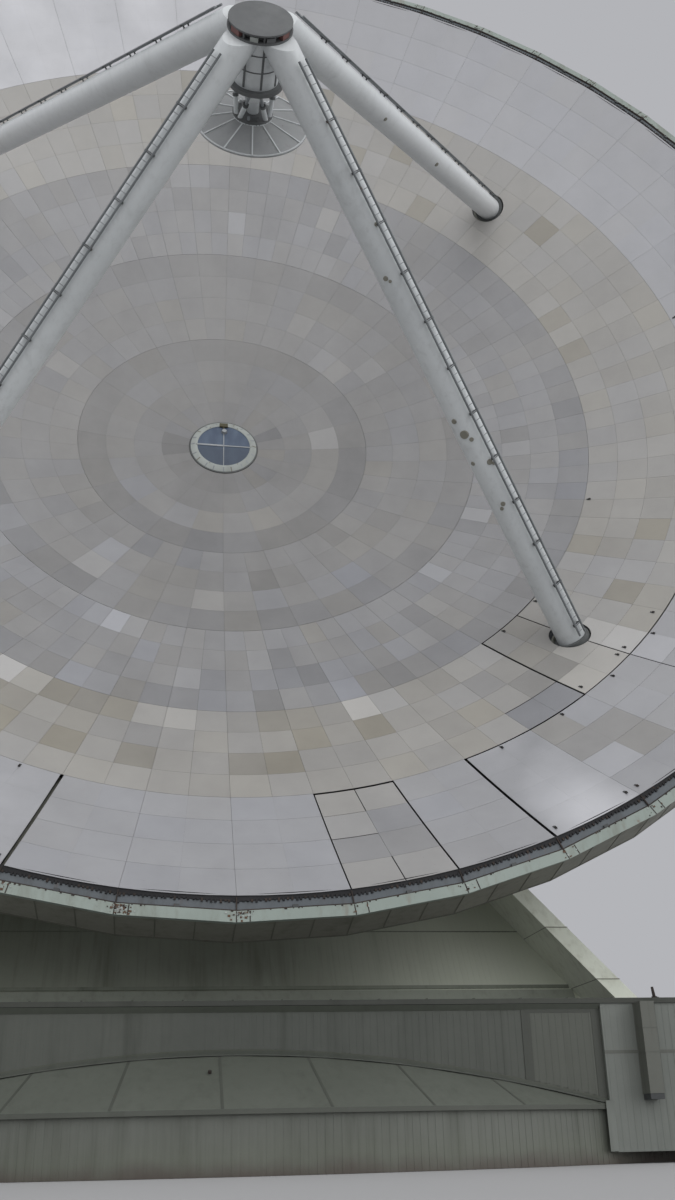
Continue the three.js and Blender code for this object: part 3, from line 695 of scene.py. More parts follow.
def rim():
    edge = dish_height(RING_EDGES[-1])
    band = edge + BAND.front
    with piece("rim_clips", "dish", "dark", (SHADE, RUSTY)) as bm:
        # A near-black strip on the band under the reflector's edge: painted shadow of the edge.
        hoop(bm, RIM_SHADOW_STRIP.radii, (band + RIM_SHADOW_STRIP.low, band + RIM_SHADOW_STRIP.high), RIM_SIDES)
        # Clips along the strip, most in its near-black, some rusty; they give the painted shadow its ragged
        # edge.
        height = band + TOOTH.deep / 2
        for side, tooth in product(range(RIM_SIDES), range(TEETH_A_SIDE)):
            turn = (side + (tooth + 0.5 + chance.uniform(-0.15, 0.15)) / TEETH_A_SIDE) * RIM_STEP
            reach = TOOTH.outer + chance.uniform(*TOOTH.bent)
            beam(bm, polygon(turn, TOOTH.inner, height), polygon(turn, reach, height),
                 TOOTH.wide, TOOTH.deep, UP, int(chance.random() < TOOTH.rusty))
    with piece("rim_band_fittings", "dish", "dark", (RUSTY, DARK)) as bm:
        for turn in angles(RIM_SIDES):
            ends = [about(turn, reach, band + 0.03) for reach in (BAND.inner, BAND.outer)]
            beam(bm, *ends, BAND_JOINT.wide, BAND_JOINT.deep)
            ends = [polygon(turn + RIM_STEP / 2 + off, BAND.outer - 0.05, band + 0.025)
                    for off in (-BAND_BOX.half_deg, BAND_BOX.half_deg)]
            beam(bm, *ends, BAND_BOX.wide, BAND_BOX.deep, UP, 1)
            for offset in FASCIA_JOINT.turns:
                beam(bm, polygon(turn + offset, BAND.outer + 0.02, edge + 0.002),
                     polygon(turn + offset, FASCIA_EDGE.outer - 0.005, edge + FASCIA_EDGE.front),
                     FASCIA_JOINT.wide, FASCIA_JOINT.deep)
    with piece("rim_joint_line", "dish", "dark", (RUSTY,)) as bm:
        inner, outer = JOINT_LINE.inner, JOINT_LINE.outer
        low, high = band + JOINT_LINE.low, edge + JOINT_LINE.high
        turned(bm, [(inner, low), (outer, low), (outer, high), (inner, high - JOINT_LINE.slope)],
               RIM_SIDES)
        for _ in range(RIM_SIDES * FLAKES_A_SIDE):
            turn, size = chance.uniform(0, 360), chance.uniform(*FLAKE_SIZES)
            flake(bm, turn, outer, edge + 0.006, size, size * 1.4)
    wall = SIDE_WALL.radius
    foot, seat = edge - SIDE_WALL.depth, edge - SIDE_WALL.seat
    with piece("side_wall_seams", "dish", "backing", (SOFT_SEAM,)) as bm:
        for turn in angles(RIM_SIDES * 3):
            beam(bm, polygon(turn, wall, foot + WALL_SEAM.spare),
                 polygon(turn, wall, seat - WALL_SEAM.spare),
                 WALL_SEAM.wide, WALL_SEAM.deep, about(turn, 1, 0))
        hoop(bm, (wall - 0.02, wall + 0.012), (foot - 0.004, foot + 0.07), RIM_SIDES)


def fascia_rust():
    """Flakes at the joints of the fascia. Three joints are rusted through."""
    face = dish_height(RING_EDGES[-1]) + FASCIA_EDGE.front
    with piece("fascia_rust", "dish", "trim", (FLAKE, RUSTY, TRIM)) as bm:
        for corner in range(-RIM_SIDES // 2, RIM_SIDES // 2):
            count = RUSTED_JOINTS.get(corner, chance.randrange(3, 12))
            for _ in range(count):
                turn = corner * RIM_STEP + chance.gauss(0.3, 0.42)
                radius = chance.uniform(BAND.outer + 0.02, FASCIA_EDGE.foot + 0.02)
                size = chance.uniform(0.02, 0.065)
                wide = size * chance.uniform(0.5, 1.5)
                flake(bm, turn, radius, face, size, wide, chance.choice((0, 0, 0, 1, 2)))


# Small brackets on the segments that were lifted off once, and a bent one at the fourth ring

HOOKED = {5: (-9, -6, -4, -3, 3, 4, 5, 6, 7, 8, 10, 13), 4: (5, 6, -7, 9)}
HOOK = Sizes(inset=0.16, out=0.33, side=0.24, long=0.17, wide=0.075, high=0.07, tip=0.07,
             bolt=0.022, pin=0.016)
LOST = Sizes(turn=50.6, inset=0.06)
LOST_ENDS = (((0.34, 0.02, 0.14), 0.11, 1), ((-0.16, 0.24, 0.1), 0.09, 0), ((0.12, -0.26, 0.12), 0.12, 0))


def segment_hooks():
    with piece("segment_hooks", "dish", "dark", (RUSTY, DARK)) as bm:
        for ring, index in ((ring, index) for ring, hooked in HOOKED.items() for index in hooked):
            step = 360 / RING_SEGMENTS[ring - 1]
            inner, outer = RING_EDGES[ring - 1] + HOOK.inset, RING_EDGES[ring] - HOOK.out
            aside = math.degrees(HOOK.side / RING_EDGES[ring])
            for turn, radius in (((index + 0.5) * step, inner), (index * step + aside, outer),
                                 ((index + 1) * step - aside, outer)):
                foot = about(turn, radius, dish_height(radius) + 0.006)
                way = about(turn, 1, radius / (2 * FOCAL_LENGTH)).normalized()
                half = way * HOOK.long / 2
                top = foot + Vector((0, 0, HOOK.high))
                beam(bm, foot - half, foot + half, HOOK.wide, 0.02, UP, 1)
                rod(bm, foot, top, HOOK.bolt, 6)
                rod(bm, top, top + way * HOOK.tip, HOOK.pin, 6)


def lost_bracket():
    radius = RING_EDGES[3] + LOST.inset
    foot = about(LOST.turn, radius, dish_height(radius) + 0.01)
    with piece("lost_bracket", "dish", "dark", (RUSTY, DARK)) as bm:
        for end, wide, finish in LOST_ENDS:
            beam(bm, foot, foot + Vector(end), wide, 0.05, UP, finish)
        rod(bm, foot, foot + Vector((0.05, 0.05, 0.2)), 0.05, 8)


# Feed legs and ladders

LEG_SIDES = 40
# Cover plates on a leg: how far along it, the angle round it from the sky side, the radius
LEG_PLATES = {
    "lower_right": ((16.72, 14, 0.09), (15.0, 71, 0.11), (14.85, 60, 0.07), (8.92, 66, 0.2),
                    (9.5, 80, 0.12), (8.66, 49, 0.1), (7.8, 89, 0.1), (7.62, 25, 0.13),
                    (7.5, 12, 0.08), (6.0, 50, 0.11), (5.85, 62, 0.09)),
    "upper_right": ((14.64, 102, 0.1), (8.66, 103, 0.12)),
}
LADDER = Sizes(out=0.665, half=0.16, start=0.05, to=22.3, rail=0.042, rung=0.016)
RUNG_STEP = 0.3
CLAMP_STEP = 1.8
CLAMP = Sizes(wide=0.08, deep=0.05, past=0.06, under=0.02)


def leg_point(turn, along, out=0.0, side=0.0):
    """A point beside a leg's axis: out towards the sky, side to its right."""
    foot = Vector((0, -LEG.foot, dish_height(LEG.foot)))
    way = Vector((0, -LEG.top[0], VERTEX_OUT + LEG.top[1])) - foot
    way.normalize()
    across = Vector(UP).cross(way).normalized()
    place = foot + way * along + way.cross(across) * out + across * side
    return Matrix.Rotation(math.radians(turn), 3, "Z") @ place


def leg(name, turn):
    with piece(f"leg_{name}", "dish", "steel", (LEG_PAINT, COLLAR, PLATE), f"feed_leg_{name}", 40) as bm:
        root = leg_point(turn, -LEG.root)
        rod(bm, root, leg_point(turn, LEG.long), LEG.radius, LEG_SIDES)
        ceiling = VERTEX_OUT + PLATFORM.z0 - 0.002
        cut = bmesh.ops.bisect_plane(bm, geom=[*bm.verts, *bm.edges, *bm.faces], dist=1e-5,
                                     plane_co=(0, 0, ceiling), plane_no=UP, clear_outer=True)
        rim_edges = [part for part in cut["geom_cut"] if isinstance(part, bmesh.types.BMEdge)]
        bmesh.ops.edgeloop_fill(bm, edges=rim_edges)
        rod(bm, root, leg_point(turn, LEG_COLLAR.reach), LEG_COLLAR.radius, LEG_SIDES, 1)
        for along, round_deg, radius in LEG_PLATES.get(name, ()):
            round_leg = math.radians(round_deg)
            low, high = (leg_point(turn, along, math.cos(round_leg) * out, math.sin(round_leg) * out)
                         for out in (LEG.radius - 0.02, LEG.radius + 0.03))
            rod(bm, low, high, radius * 0.85, 14, 2, radius * 0.75)


def ladder(name, turn):
    out, half, start = LADDER.out, LADDER.half, LADDER.start
    run = LADDER.to - start
    with piece(f"rails_{name}", "dish", "steel", (RAIL, LADDER_RAIL, DARK), f"ladder_{name}", 50) as bm:
        for side in (-half, half):
            rod(bm, leg_point(turn, start, out, side), leg_point(turn, LADDER.to, out, side),
                LADDER.rail, 10, 1)
        for rung in range(round(run / RUNG_STEP)):
            at = start + RUNG_STEP * (rung + 0.5)
            rod(bm, leg_point(turn, at, out, -half), leg_point(turn, at, out, half), LADDER.rung, 6)
        for clamp in range(round(run / CLAMP_STEP)):
            at, under = start + CLAMP_STEP * (clamp + 0.25), out - CLAMP.under
            ends = [leg_point(turn, at, under, end * (half + CLAMP.past)) for end in (-1, 1)]
            beam(bm, *ends, CLAMP.wide, CLAMP.deep, leg_point(turn, at, 1) - leg_point(turn, at), 2)
            for side in (-half * 0.7, half * 0.7):
                rod(bm, leg_point(turn, at, LEG.radius - 0.06, side), leg_point(turn, at, under, side),
                    0.03, 8, 2)


def legs():
    for name, turn in LEG_TURNS.items():
        leg(name, turn)
        ladder(name, turn)


# The vertex window in its raised ring

VERTEX_RING = Sizes(hole=1.2, mouth=1.29, foot=1.5, proud=0.14, edge=0.05, deep=0.25)
VERTEX_WINDOW = Sizes(front=0.11, back=0.05, radius=1.25)
VERTEX_SEAL = (1.49, 1.56)
RING_LUG = Sizes(count=20, off=4, wide=0.05, deep=0.03)
RING_BOLTS = Sizes(count=6, first=-150, radius=1.25, half=0.02, size=0.025)
# Each bar's two ends and its width
BARS = (((-1.2, 0.03), (0, 0), 0.09), ((0, 0), (1.2, -0.02), 0.06), ((0, -1.2), (0, 1.15), 0.035))
LAMP = Sizes(at=(0.02, 0.86), high=0.12, radius=0.14, lens=0.1)


def vertex():
    face = dish_height(RING_EDGES[0])
    front = face + VERTEX_WINDOW.front
    mouth = face + VERTEX_RING.proud
    hole, foot, deep = VERTEX_RING.hole, VERTEX_RING.foot, face - VERTEX_RING.deep
    with piece("vertex_frame", "dish", "trim", (TRIM,), "vertex_ring", 35) as bm:
        turned(bm, [(hole, deep), (foot, deep), (foot, face + VERTEX_RING.edge),
                    (VERTEX_RING.mouth, mouth), (hole, mouth - 0.01)], 64)
    with piece("window_cloth", "dish", "panel", (WINDOW,), "vertex_window") as bm:
        disc(bm, face + VERTEX_WINDOW.back, front, VERTEX_WINDOW.radius, 64)
    with piece("vertex_seal", "dish", "dark", (COLLAR,)) as bm:
        inner, outer = VERTEX_SEAL
        turned(bm, [(inner, face - 0.02), (outer, face - 0.02), (outer, face + 0.03),
                    (inner, face + 0.045)], 64)
    with piece("vertex_brackets", "dish", "steel", (RAIL, PLATE)) as bm:
        for lug, turn in enumerate(angles(RING_LUG.count)):
            turn += chance.uniform(-RING_LUG.off, RING_LUG.off)
            beam(bm, about(turn, foot, face + 0.04), about(turn, VERTEX_RING.mouth + 0.02, mouth - 0.015),
                 RING_LUG.wide, RING_LUG.deep, UP, int(lug % 4 == 1))
        for turn in angles(RING_BOLTS.count, RING_BOLTS.first):
            bolt = about(turn, RING_BOLTS.radius, mouth - RING_BOLTS.half)
            peg(bm, bolt, 2 * RING_BOLTS.half, RING_BOLTS.size, 6, 1)
    with piece("window_bars", "dish", "steel", (RAIL,)) as bm:
        for start, end, wide in BARS:
            beam(bm, (*start, front + 0.01), (*end, front + 0.01), wide, 0.03)
    with piece("window_lamp", "dish", "dark", (RAIL, OLIVE), smooth=35) as bm:
        lamp = Vector((*LAMP.at, front))
        rod(bm, lamp, lamp + Vector((0, 0, LAMP.high)), LAMP.radius, 16, 0, LAMP.lens)
        block(bm, (-0.2, 1.14, mouth - 0.06), (0.18, 1.34, mouth + 0.05), 1)
        rod(bm, (-0.01, 0.98, front + 0.06), (-0.01, 1.16, mouth), 0.03, 8, 1)


# The apex: platform, can, hexapod and secondary mirror

APEX_POST = Sizes(count=18, first=7, radius=0.035)
# Boxes in the platform's gap: angle, finish and size
APEX_BOXES = ((-52, 1, 0.3), (52, 1, 0.26), (-12, 2, 0.2), (160, 1, 0.24), (128, 2, 0.16), (-128, 1, 0.22),
              (18, 0, 0.2))
CAN_STRIP = Sizes(count=8, first=12, wide=0.07, deep=0.03)
CAN_BANDS = (0.62, 1.2)
HEXAPOD = Sizes(low=0.7, high=0.95, plate=0.1, high_plate=0.14, middle=0.52)
# A strut's end: angle off its pair's middle, and radius
HEXAPOD_PIVOTS = ((12, 0.6), (48, 0.72))
HEXAPOD_BOLTS = 12
STRUT = Sizes(thick=0.085, thin=0.05, sleeve=0.105)
DECK_POST = Sizes(high=0.5, radius=0.2)
SECONDARY = Sizes(radius=1.95, edge=16.62, crown=0.38, crown_radius=0.66, bulge=0.32)
FINS = 12
FIN = Sizes(start=0.6, wide=0.045, deep=0.07)


def apex():
    low, high = VERTEX_OUT + PLATFORM.z0, VERTEX_OUT + PLATFORM.z1
    wide = PLATFORM.radius
    with piece("apex_frame", "dish", "dark", (APEX_STEEL, RUST_RED, TRIM), "apex_platform", 35) as bm:
        disc(bm, low, low + 0.07, wide, 40)
        disc(bm, high - 0.06, high, wide - 0.02, 40)
        disc(bm, low, high - 0.01, wide - 0.22, 24)
        for turn in angles(APEX_POST.count, APEX_POST.first):
            rod(bm, about(turn, wide - 0.08, low + 0.02), about(turn, wide - 0.08, high - 0.02),
                APEX_POST.radius, 6)
        for turn, finish, size in APEX_BOXES:
            beam(bm, about(turn, wide - 0.2, low + 0.14), about(turn, wide - 0.03, low + 0.14),
                 size * 1.3, size * 0.8, UP, finish)
    foot, reach = VERTEX_OUT + CAN.z0, CAN.radius
    with piece("receiver_can", "dish", "steel", (LEG_PAINT, APEX_STEEL), "apex_can", 35) as bm:
        disc(bm, foot, low, reach - 0.02, 48)
        for turn in angles(CAN_STRIP.count, CAN_STRIP.first):
            beam(bm, about(turn, reach - 0.01, foot + 0.05), about(turn, reach - 0.01, low - 0.02),
                 CAN_STRIP.wide, CAN_STRIP.deep, about(turn, 1, 0), 1)
        for height in CAN_BANDS:
            hoop(bm, (reach - 0.04, reach), (foot + height, foot + height + 0.03), 48, 1)
    edge = VERTEX_OUT + SECONDARY.edge
    crown = edge + SECONDARY.crown
    hexapod(crown + 0.002, foot)
    secondary(edge, crown, SECONDARY.radius)


def hexapod(deck, can_foot):
    top = deck + HEXAPOD.plate
    with piece("hexapod_mount", "dish", "dark", (APEX_STEEL, LEG_PAINT, RAIL), "hexapod", 35) as bm:
        disc(bm, can_foot - HEXAPOD.high_plate, can_foot - 0.002, HEXAPOD.high, 40)
        disc(bm, deck, top, HEXAPOD.low, 36)
        for pair, side in product(range(3), (-1, 1)):
            feet, head = (about(120 * pair + side * turn + 60, radius, height) for (turn, radius), height
                          in zip(HEXAPOD_PIVOTS, (deck + 0.05, can_foot - 0.1)))
            middle = feet.lerp(head, HEXAPOD.middle)
            rod(bm, feet, middle, STRUT.thick, 12, 1)
            rod(bm, middle, head, STRUT.thin, 12, 2)
            rod(bm, feet.lerp(head, 0.48), feet.lerp(head, 0.56), STRUT.sleeve, 12)
        for bolt, turn in enumerate(angles(HEXAPOD_BOLTS, 180 / HEXAPOD_BOLTS)):
            peg(bm, about(turn, HEXAPOD_PIVOTS[0][1], deck + 0.13), 0.12, 0.05, 8, bolt % 3)
        disc(bm, top, deck + DECK_POST.high, DECK_POST.radius, 20, 1)


def secondary(edge, crown, reach):
    face = edge - SECONDARY.bulge
    with piece("secondary_shell", "dish", "dark", (MIRROR_BACK,), "secondary_mirror", 25) as bm:
        turned(bm, [(0, face), (reach * 0.5, edge - SECONDARY.bulge * 0.75), (reach, edge),
                    (reach, edge + 0.05), (SECONDARY.crown_radius, crown), (0, crown)], 72, closed=False)
    with piece("secondary_fins", "dish", "steel", (LEG_PAINT, DARK), "secondary_ribs") as bm:
        for turn in angles(FINS):
            beam(bm, about(turn, FIN.start, crown), about(turn, reach - 0.02, edge + 0.06),
                 FIN.wide, FIN.deep)
        hoop(bm, (reach - 0.05, reach), (edge + 0.03, edge + 0.085), 72)
        hoop(bm, (0.62, 0.7), (crown - 0.03, crown + 0.03), 48)


# The base: ribbed sheet, flashings, seams

RIB_PITCH = 0.2
RIB = Sizes(wide=0.06, proud=0.006)
REVEAL_STEPS = 8
FRAME_WIDE = 0.26
APRON = Sizes(middle=0.17, end=0.14, top=0.06, steps=32)
SOFFIT = Sizes(deep=0.18, high=0.15)
FLAP = Sizes(near=10.72, far=10.44, out=0.115, high=1.6)
HIP_SEAMS = (5.35, 7.2, 9.05, 10.9, 12.75, 14.6)
GABLE_SEAMS = (7.5, 9.7, 11.9, 14.1)
CURB_TOP = 5.36
# Lower edge, upper edge, half the depth and finish
CURBS = ((ROOF_TOP + 0.002, CURB_TOP, 0.07, 0), (CURB_TOP, CURB_TOP + 0.13, 0.045, 1))
GABLE_OUT = (Vector(FRONT), Vector((1, 0, 0)))
GABLE_WAY = (Vector((1, 0, 0)), Vector((0, 1, 0)))
WALL_Y = -BASE.y
TOWER_Y = WALL_Y - TOWER.proud
WALL_TOP = ROOF_UNDER - 0.004
SHEET_PROUD = 0.012
EAVE_TOP = DRUM.high + EAVE.edge


def skirt_height(radius):
    return EAVE_TOP + SKIRT_SLOPE * (EAVE.radius - max(radius, DECK_RADIUS))


def over_skirt(x, y):
    """The lowest that a thing of the alidade may reach at a place."""
    radius = math.hypot(x, y)
    return skirt_height(radius) + ARCH_CLEARANCE if radius < EAVE.radius + ARCH_CLEARANCE else 0


def clear_of_skirt(at):
    return Vector((at.x, at.y, over_skirt(at.x, at.y) + 0.02))


def raised(height):
    return lambda at: Vector((at.x, at.y, height))


def hip_edge(z):
    return HIP_FOOT * ((HIP_APEX_Z - z) / (HIP_APEX_Z - ROOF_TOP))


def gable_point(side, along, z):
    """A point on the front gable, side 0, or on the right one, side 1."""
    edge = hip_edge(z)
    return Vector(((along, HIP_SIZE[1] - edge.y, z), (edge.x - SIDE_GABLE_RECESS, along, z))[side])


def gable_half(side, z):
    return hip_edge(z)[side] - HIP_SIZE[side]


def gable_beam(bm, side, z, half, width, depth, finish=0):
    out = GABLE_OUT[side] + Vector((0, 0, 0.6))
    beam(bm, gable_point(side, -half, z), gable_point(side, half, z), width, depth, out, finish)


def ribs(bm, start, end, low, high, out=FRONT, finish=0):
    """Upright ribs along a wall. low(point) and high(point) give each rib's two ends."""
    start, end = Vector(start), Vector(end)
    count = round((end - start).length / RIB_PITCH)
    for rib in range(count):
        at = start.lerp(end, (rib + 0.5) / count)
        foot, head = low(at), high(at)
        if head and (head - foot).length > RIB_PITCH:
            beam(bm, foot, head, RIB.wide, 2 * RIB.proud, out, finish)


def base_ribs():
    top = raised(ROOF_UNDER - 0.01)
    face_x = BASE.x + TOWER.proud
    with piece("wall_ribs", "alidade", "cladding", (SHADED_WALL_SHEET,), twice=True) as bm:
        ribs(bm, (-TOWER.x, WALL_Y, 0), (TOWER.x, WALL_Y, 0), clear_of_skirt, top)
        ribs(bm, (BASE.x, -TOWER.y, 0), (BASE.x, TOWER.y, 0), clear_of_skirt, top, (1, 0, 0))
    with piece("tower_ribs", "alidade", "cladding", (TOWER_SHEET,), twice=True) as bm:
        foot = raised(TOWER.foot + 0.02)
        for sx in (1, -1):
            ribs(bm, (sx * TOWER.x, TOWER_Y, 0), (sx * face_x, TOWER_Y, 0), foot, top)
            ribs(bm, (sx * face_x, -TOWER.y, 0), (sx * face_x, TOWER_Y, 0), foot, top, (sx, 0, 0))
    with piece("gable_ribs", "alidade", "cladding", (GABLE_END, GABLE_SIDE), twice=True) as bm:
        for side in (0, 1):
            def foot(at):
                return gable_point(side, at[side], CURB_TOP)

            def head(at):
                slope = (HIP_APEX_Z - ROOF_TOP) / HIP_FOOT[side]
                z = min(CROSSHEAD.z0, HIP_APEX_Z - (abs(at[side]) + HIP_SIZE[side] + 0.1) * slope)
                return gable_point(side, at[side], z) if z > CURB_TOP else None

            reach = GABLE_WAY[side] * gable_half(side, CURB_TOP)
            ribs(bm, -reach, reach, foot, head, GABLE_OUT[side], side)


def wall_flashings():
    with piece("reveal_panel", "alidade", "cladding", (REVEAL,), twice=True) as bm:
        for sx in (-1, 1):
            ribs(bm, (sx * REVEAL_X, WALL_Y - SHEET_PROUD, 0), (sx * TOWER.x, WALL_Y - SHEET_PROUD, 0),
                 clear_of_skirt, raised(WALL_TOP))
            for step in range(REVEAL_STEPS):
                x0, x1 = (REVEAL_X + (TOWER.x - REVEAL_X) * (step + end) / REVEAL_STEPS for end in (0, 1))
                block(bm, (sx * x0, WALL_Y - SHEET_PROUD, over_skirt(x0, WALL_Y) + 0.02),
                      (sx * x1, WALL_Y + 0.001, WALL_TOP))
    with piece("wall_flashings", "alidade", "cladding", (REVEAL_FRAME, SKIRT), twice=True) as bm:
        head = WALL_TOP - SOFFIT.high
        # The reveal's frames: flashing strips whose dark colour is partly painted shade of the recess.
        for sx in (-1, 1):
            for x in (REVEAL_X, TOWER.x - FRAME_WIDE / 2):
                foot = over_skirt(x + FRAME_WIDE / 2, WALL_Y) + 0.01
                beam(bm, (sx * x, WALL_Y - SHEET_PROUD, foot), (sx * x, WALL_Y - SHEET_PROUD, WALL_TOP),
                     FRAME_WIDE, 0.026, FRONT)
            block(bm, (sx * REVEAL_X, WALL_Y - 0.026, head - 0.08), (sx * TOWER.x, WALL_Y, head + 0.02))

        def soffit(u, v):
            return Vector((TOWER.x * (2 * u - 1) * 0.998, WALL_Y - 0.008 - SOFFIT.deep * v,
                           WALL_TOP - 0.006 - SOFFIT.high * (1 - v)))

        plate(bm, (1, 1), soffit, (0, 0.012, 0), 1)
    with piece("wall_apron", "alidade", "cladding", (SHADED_WALL_SHEET, FLASHING), smooth=30, twice=True) as bm:
        for near, far, finish in ((0.0, 0.3, 1), (0.3, 1.0, 0)):
            def apron(u, v):
                x = TOWER.x * (2 * u - 1) * 0.998
                out = near + (far - near) * (1 - v)
                reach = APRON.middle + (APRON.end - APRON.middle) * (2 * u - 1) ** 2
                y = WALL_Y - 0.008 - reach * out
                low = max(over_skirt(x, y), EAVE_TOP + ARCH_CLEARANCE)
                return Vector((x, y, low + APRON.top * (1 - out) - 0.015))

            plate(bm, (APRON.steps, 1), apron, (0, 0, -0.025), finish)
    with piece("tower_flaps", "alidade", "cladding", (TOWER_SHEET,), twice=True) as bm:
        for sx in (-1, 1):
            def flap(u, v):
                return Vector((sx * (FLAP.near + (FLAP.far - FLAP.near) * u),
                               TOWER_Y - 0.002 - (FLAP.out - 0.002) * u,
                               TOWER.foot + 0.02 + (FLAP.high - TOWER.foot) * v))

            plate(bm, (1, 1), flap, (0, 0.01, 0))


def base_seams():
    with piece("gable_curbs", "alidade", "trim", (CURB, GABLE_LINE), twice=True) as bm:
        for (low, high, proud, finish), side in product(CURBS, (0, 1)):
            gable_beam(bm, side, (low + high) / 2, gable_half(side, high) - 0.01, high - low,
                       2 * proud, finish)
    with piece("gable_seams", "alidade", "cladding", (GABLE_LINE,), twice=True) as bm:
        for z, side in product(GABLE_SEAMS, (0, 1)):
            gable_beam(bm, side, z, gable_half(side, z), 0.03, 0.05)
    with piece("tower_seams", "alidade", "cladding", (DUCT_SHEET,), twice=True) as bm:
        low, high = TOWER.seam, TOWER.seam + TOWER.seam_high
        for sx in (-1, 1):
            x = sx * (BASE.x + TOWER.proud)
            block(bm, (sx * TOWER.x, TOWER_Y - 0.009, low), (x, TOWER_Y, high))
            for end in (-1, 1):
                block(bm, (x, end * TOWER.y, low), (x + sx * 0.009, -end * TOWER_Y, high))
    with piece("hip_seams", "alidade", "steel", (HIP_SEAM,), twice=True) as bm:
        for z, sx in product(HIP_SEAMS, (-1, 1)):
            edge, above = hip_edge(z), hip_edge(z + 0.03)
            block(bm, (sx * (edge.x - HIP_SIZE[0] - 0.012), -edge.y - 0.012, z),
                  (sx * (above.x + 0.03), HIP_SIZE[1] - edge.y, z + 0.03))


# Ducts and roof

DUCT = Sizes(near=11.6, far=12.02, foot=1.77, out=0.55)
DUCT_BANDS = (TOWER.seam, 3.5)
ROOF_ROD = Sizes(at=(12.34, -18.3), way=(-0.04, 0, 0.33), radius=0.055, tip=0.04, foot=0.09)
ROOF_MARGIN = 0.1
ROOF_SEAM = Sizes(half=0.03, high=0.03)


def ducts():
    for name, sx in (("right", 1), ("left", -1)):
        with piece(f"duct_fittings_{name}", "alidade", "trim", (DUCT_SHEET, DARK)) as bm:
            near, far = sorted((sx * DUCT.near, sx * DUCT.far))
            foot, out = DUCT.foot, TOWER_Y - DUCT.out
            for x in (near + 0.03, far - 0.03):
                block(bm, (x - 0.05, TOWER_Y - 0.012, foot), (x + 0.05, TOWER_Y - 0.001, ROOF_UNDER))
            # A near-black box under the duct's foot: its opening, and painted shade under it.
            block(bm, (near + 0.01, out + 0.01, foot - 0.15), (far - 0.01, TOWER_Y - 0.01, foot - 0.002), 1)
            for z in DUCT_BANDS:
                block(bm, (near - 0.01, out - 0.01, z), (far + 0.01, TOWER_Y, z + 0.03))


def roof():
    out_x, out_y = BASE.x + ROOF_MARGIN, BASE.y + ROOF_MARGIN
    with piece("roof_rod", "alidade", "steel", (RUSTY,)) as bm:
        foot = Vector((*ROOF_ROD.at, ROOF_TOP - 0.01))
        rod(bm, foot, foot + Vector(ROOF_ROD.way), ROOF_ROD.radius, 8, 0, ROOF_ROD.tip)
        peg(bm, Vector((*ROOF_ROD.at, ROOF_TOP)), 0.05, ROOF_ROD.foot)
    with piece("roof_sheet", "alidade", "roofing", (ROOF,)) as bm:
        block(bm, (-out_x, -out_y, ROOF_TOP), (out_x, out_y, ROOF_TOP + 0.012))
    with piece("roof_seams", "alidade", "cladding", (SKIRT_SEAM,), twice=True) as bm:
        half, top = ROOF_SEAM.half, ROOF_TOP + ROOF_SEAM.high
        for x in (seam * out_x / 12.4 for seam in range(-12, 13)):
            block(bm, (x - half, -out_y, ROOF_TOP), (x + half, -HIP_FOOT.y - 0.02, top))
        for y in (seam * HIP_FOOT.y / 10.4 for seam in range(-10, 11)):
            block(bm, (HIP_FOOT.x + 0.02, y - half, ROOF_TOP), (out_x, y + half, top))


# The foundation

RIBS_A_SIDE = 13
SKIRT_SEAMS = 48
SKIRT_SEAM_OFFSET_DEG = -1.06
# Width and depth of a seam's standing edge and of its flat foot
SKIRT_SEAM_PARTS = ((0.03, 0.014), (0.08, 0.008))
VENT = Sizes(turn=-1.9, radius=19.4)


def foundation_details():
    with piece("foundation_ribs", "foundation", "concrete", (FOUNDATION,)) as bm:
        count = RIM_SIDES * RIBS_A_SIDE
        for turn in angles(count, 180 / count):
            beam(bm, polygon(turn, DRUM.radius, 0.01), polygon(turn, DRUM.radius, DRUM.high - 0.01),
                 RIB.wide, 2 * RIB.proud, about(turn, 1, 0))
    with piece("skirt_sheet", "foundation", "roofing", (SKIRT, SKIRT_SEAM), "skirt_roof") as bm:
        eave, deck, foot = EAVE.radius - 0.004, skirt_height(DECK_RADIUS), DRUM.high + 0.001
        turned(bm, [(0, deck), (DECK_RADIUS, deck), (eave, EAVE_TOP), (eave, foot), (0, foot)], RIM_SIDES,
               closed=False)
        for face in bm.faces:
            if DRUM.high + 0.01 < face.calc_center_median().z < EAVE_TOP - 0.01:
                face.material_index = 1
    with piece("skirt_seams", "foundation", "roofing", (SKIRT_SEAM, RUSTY)) as bm:
        for turn, (wide, deep) in product(angles(SKIRT_SEAMS, SKIRT_SEAM_OFFSET_DEG), SKIRT_SEAM_PARTS):
            beam(bm, polygon(turn, EAVE.radius - 0.02, EAVE_TOP + 0.008),
                 polygon(turn, DECK_RADIUS, skirt_height(DECK_RADIUS)), wide, deep)
        vent = about(VENT.turn, VENT.radius, skirt_height(VENT.radius))
        rod(bm, vent, vent + Vector((0, -0.03, 0.06)), 0.05, 12, 1)


# The back: cladding joints, hub, gear, bearings, yoke and counterweights

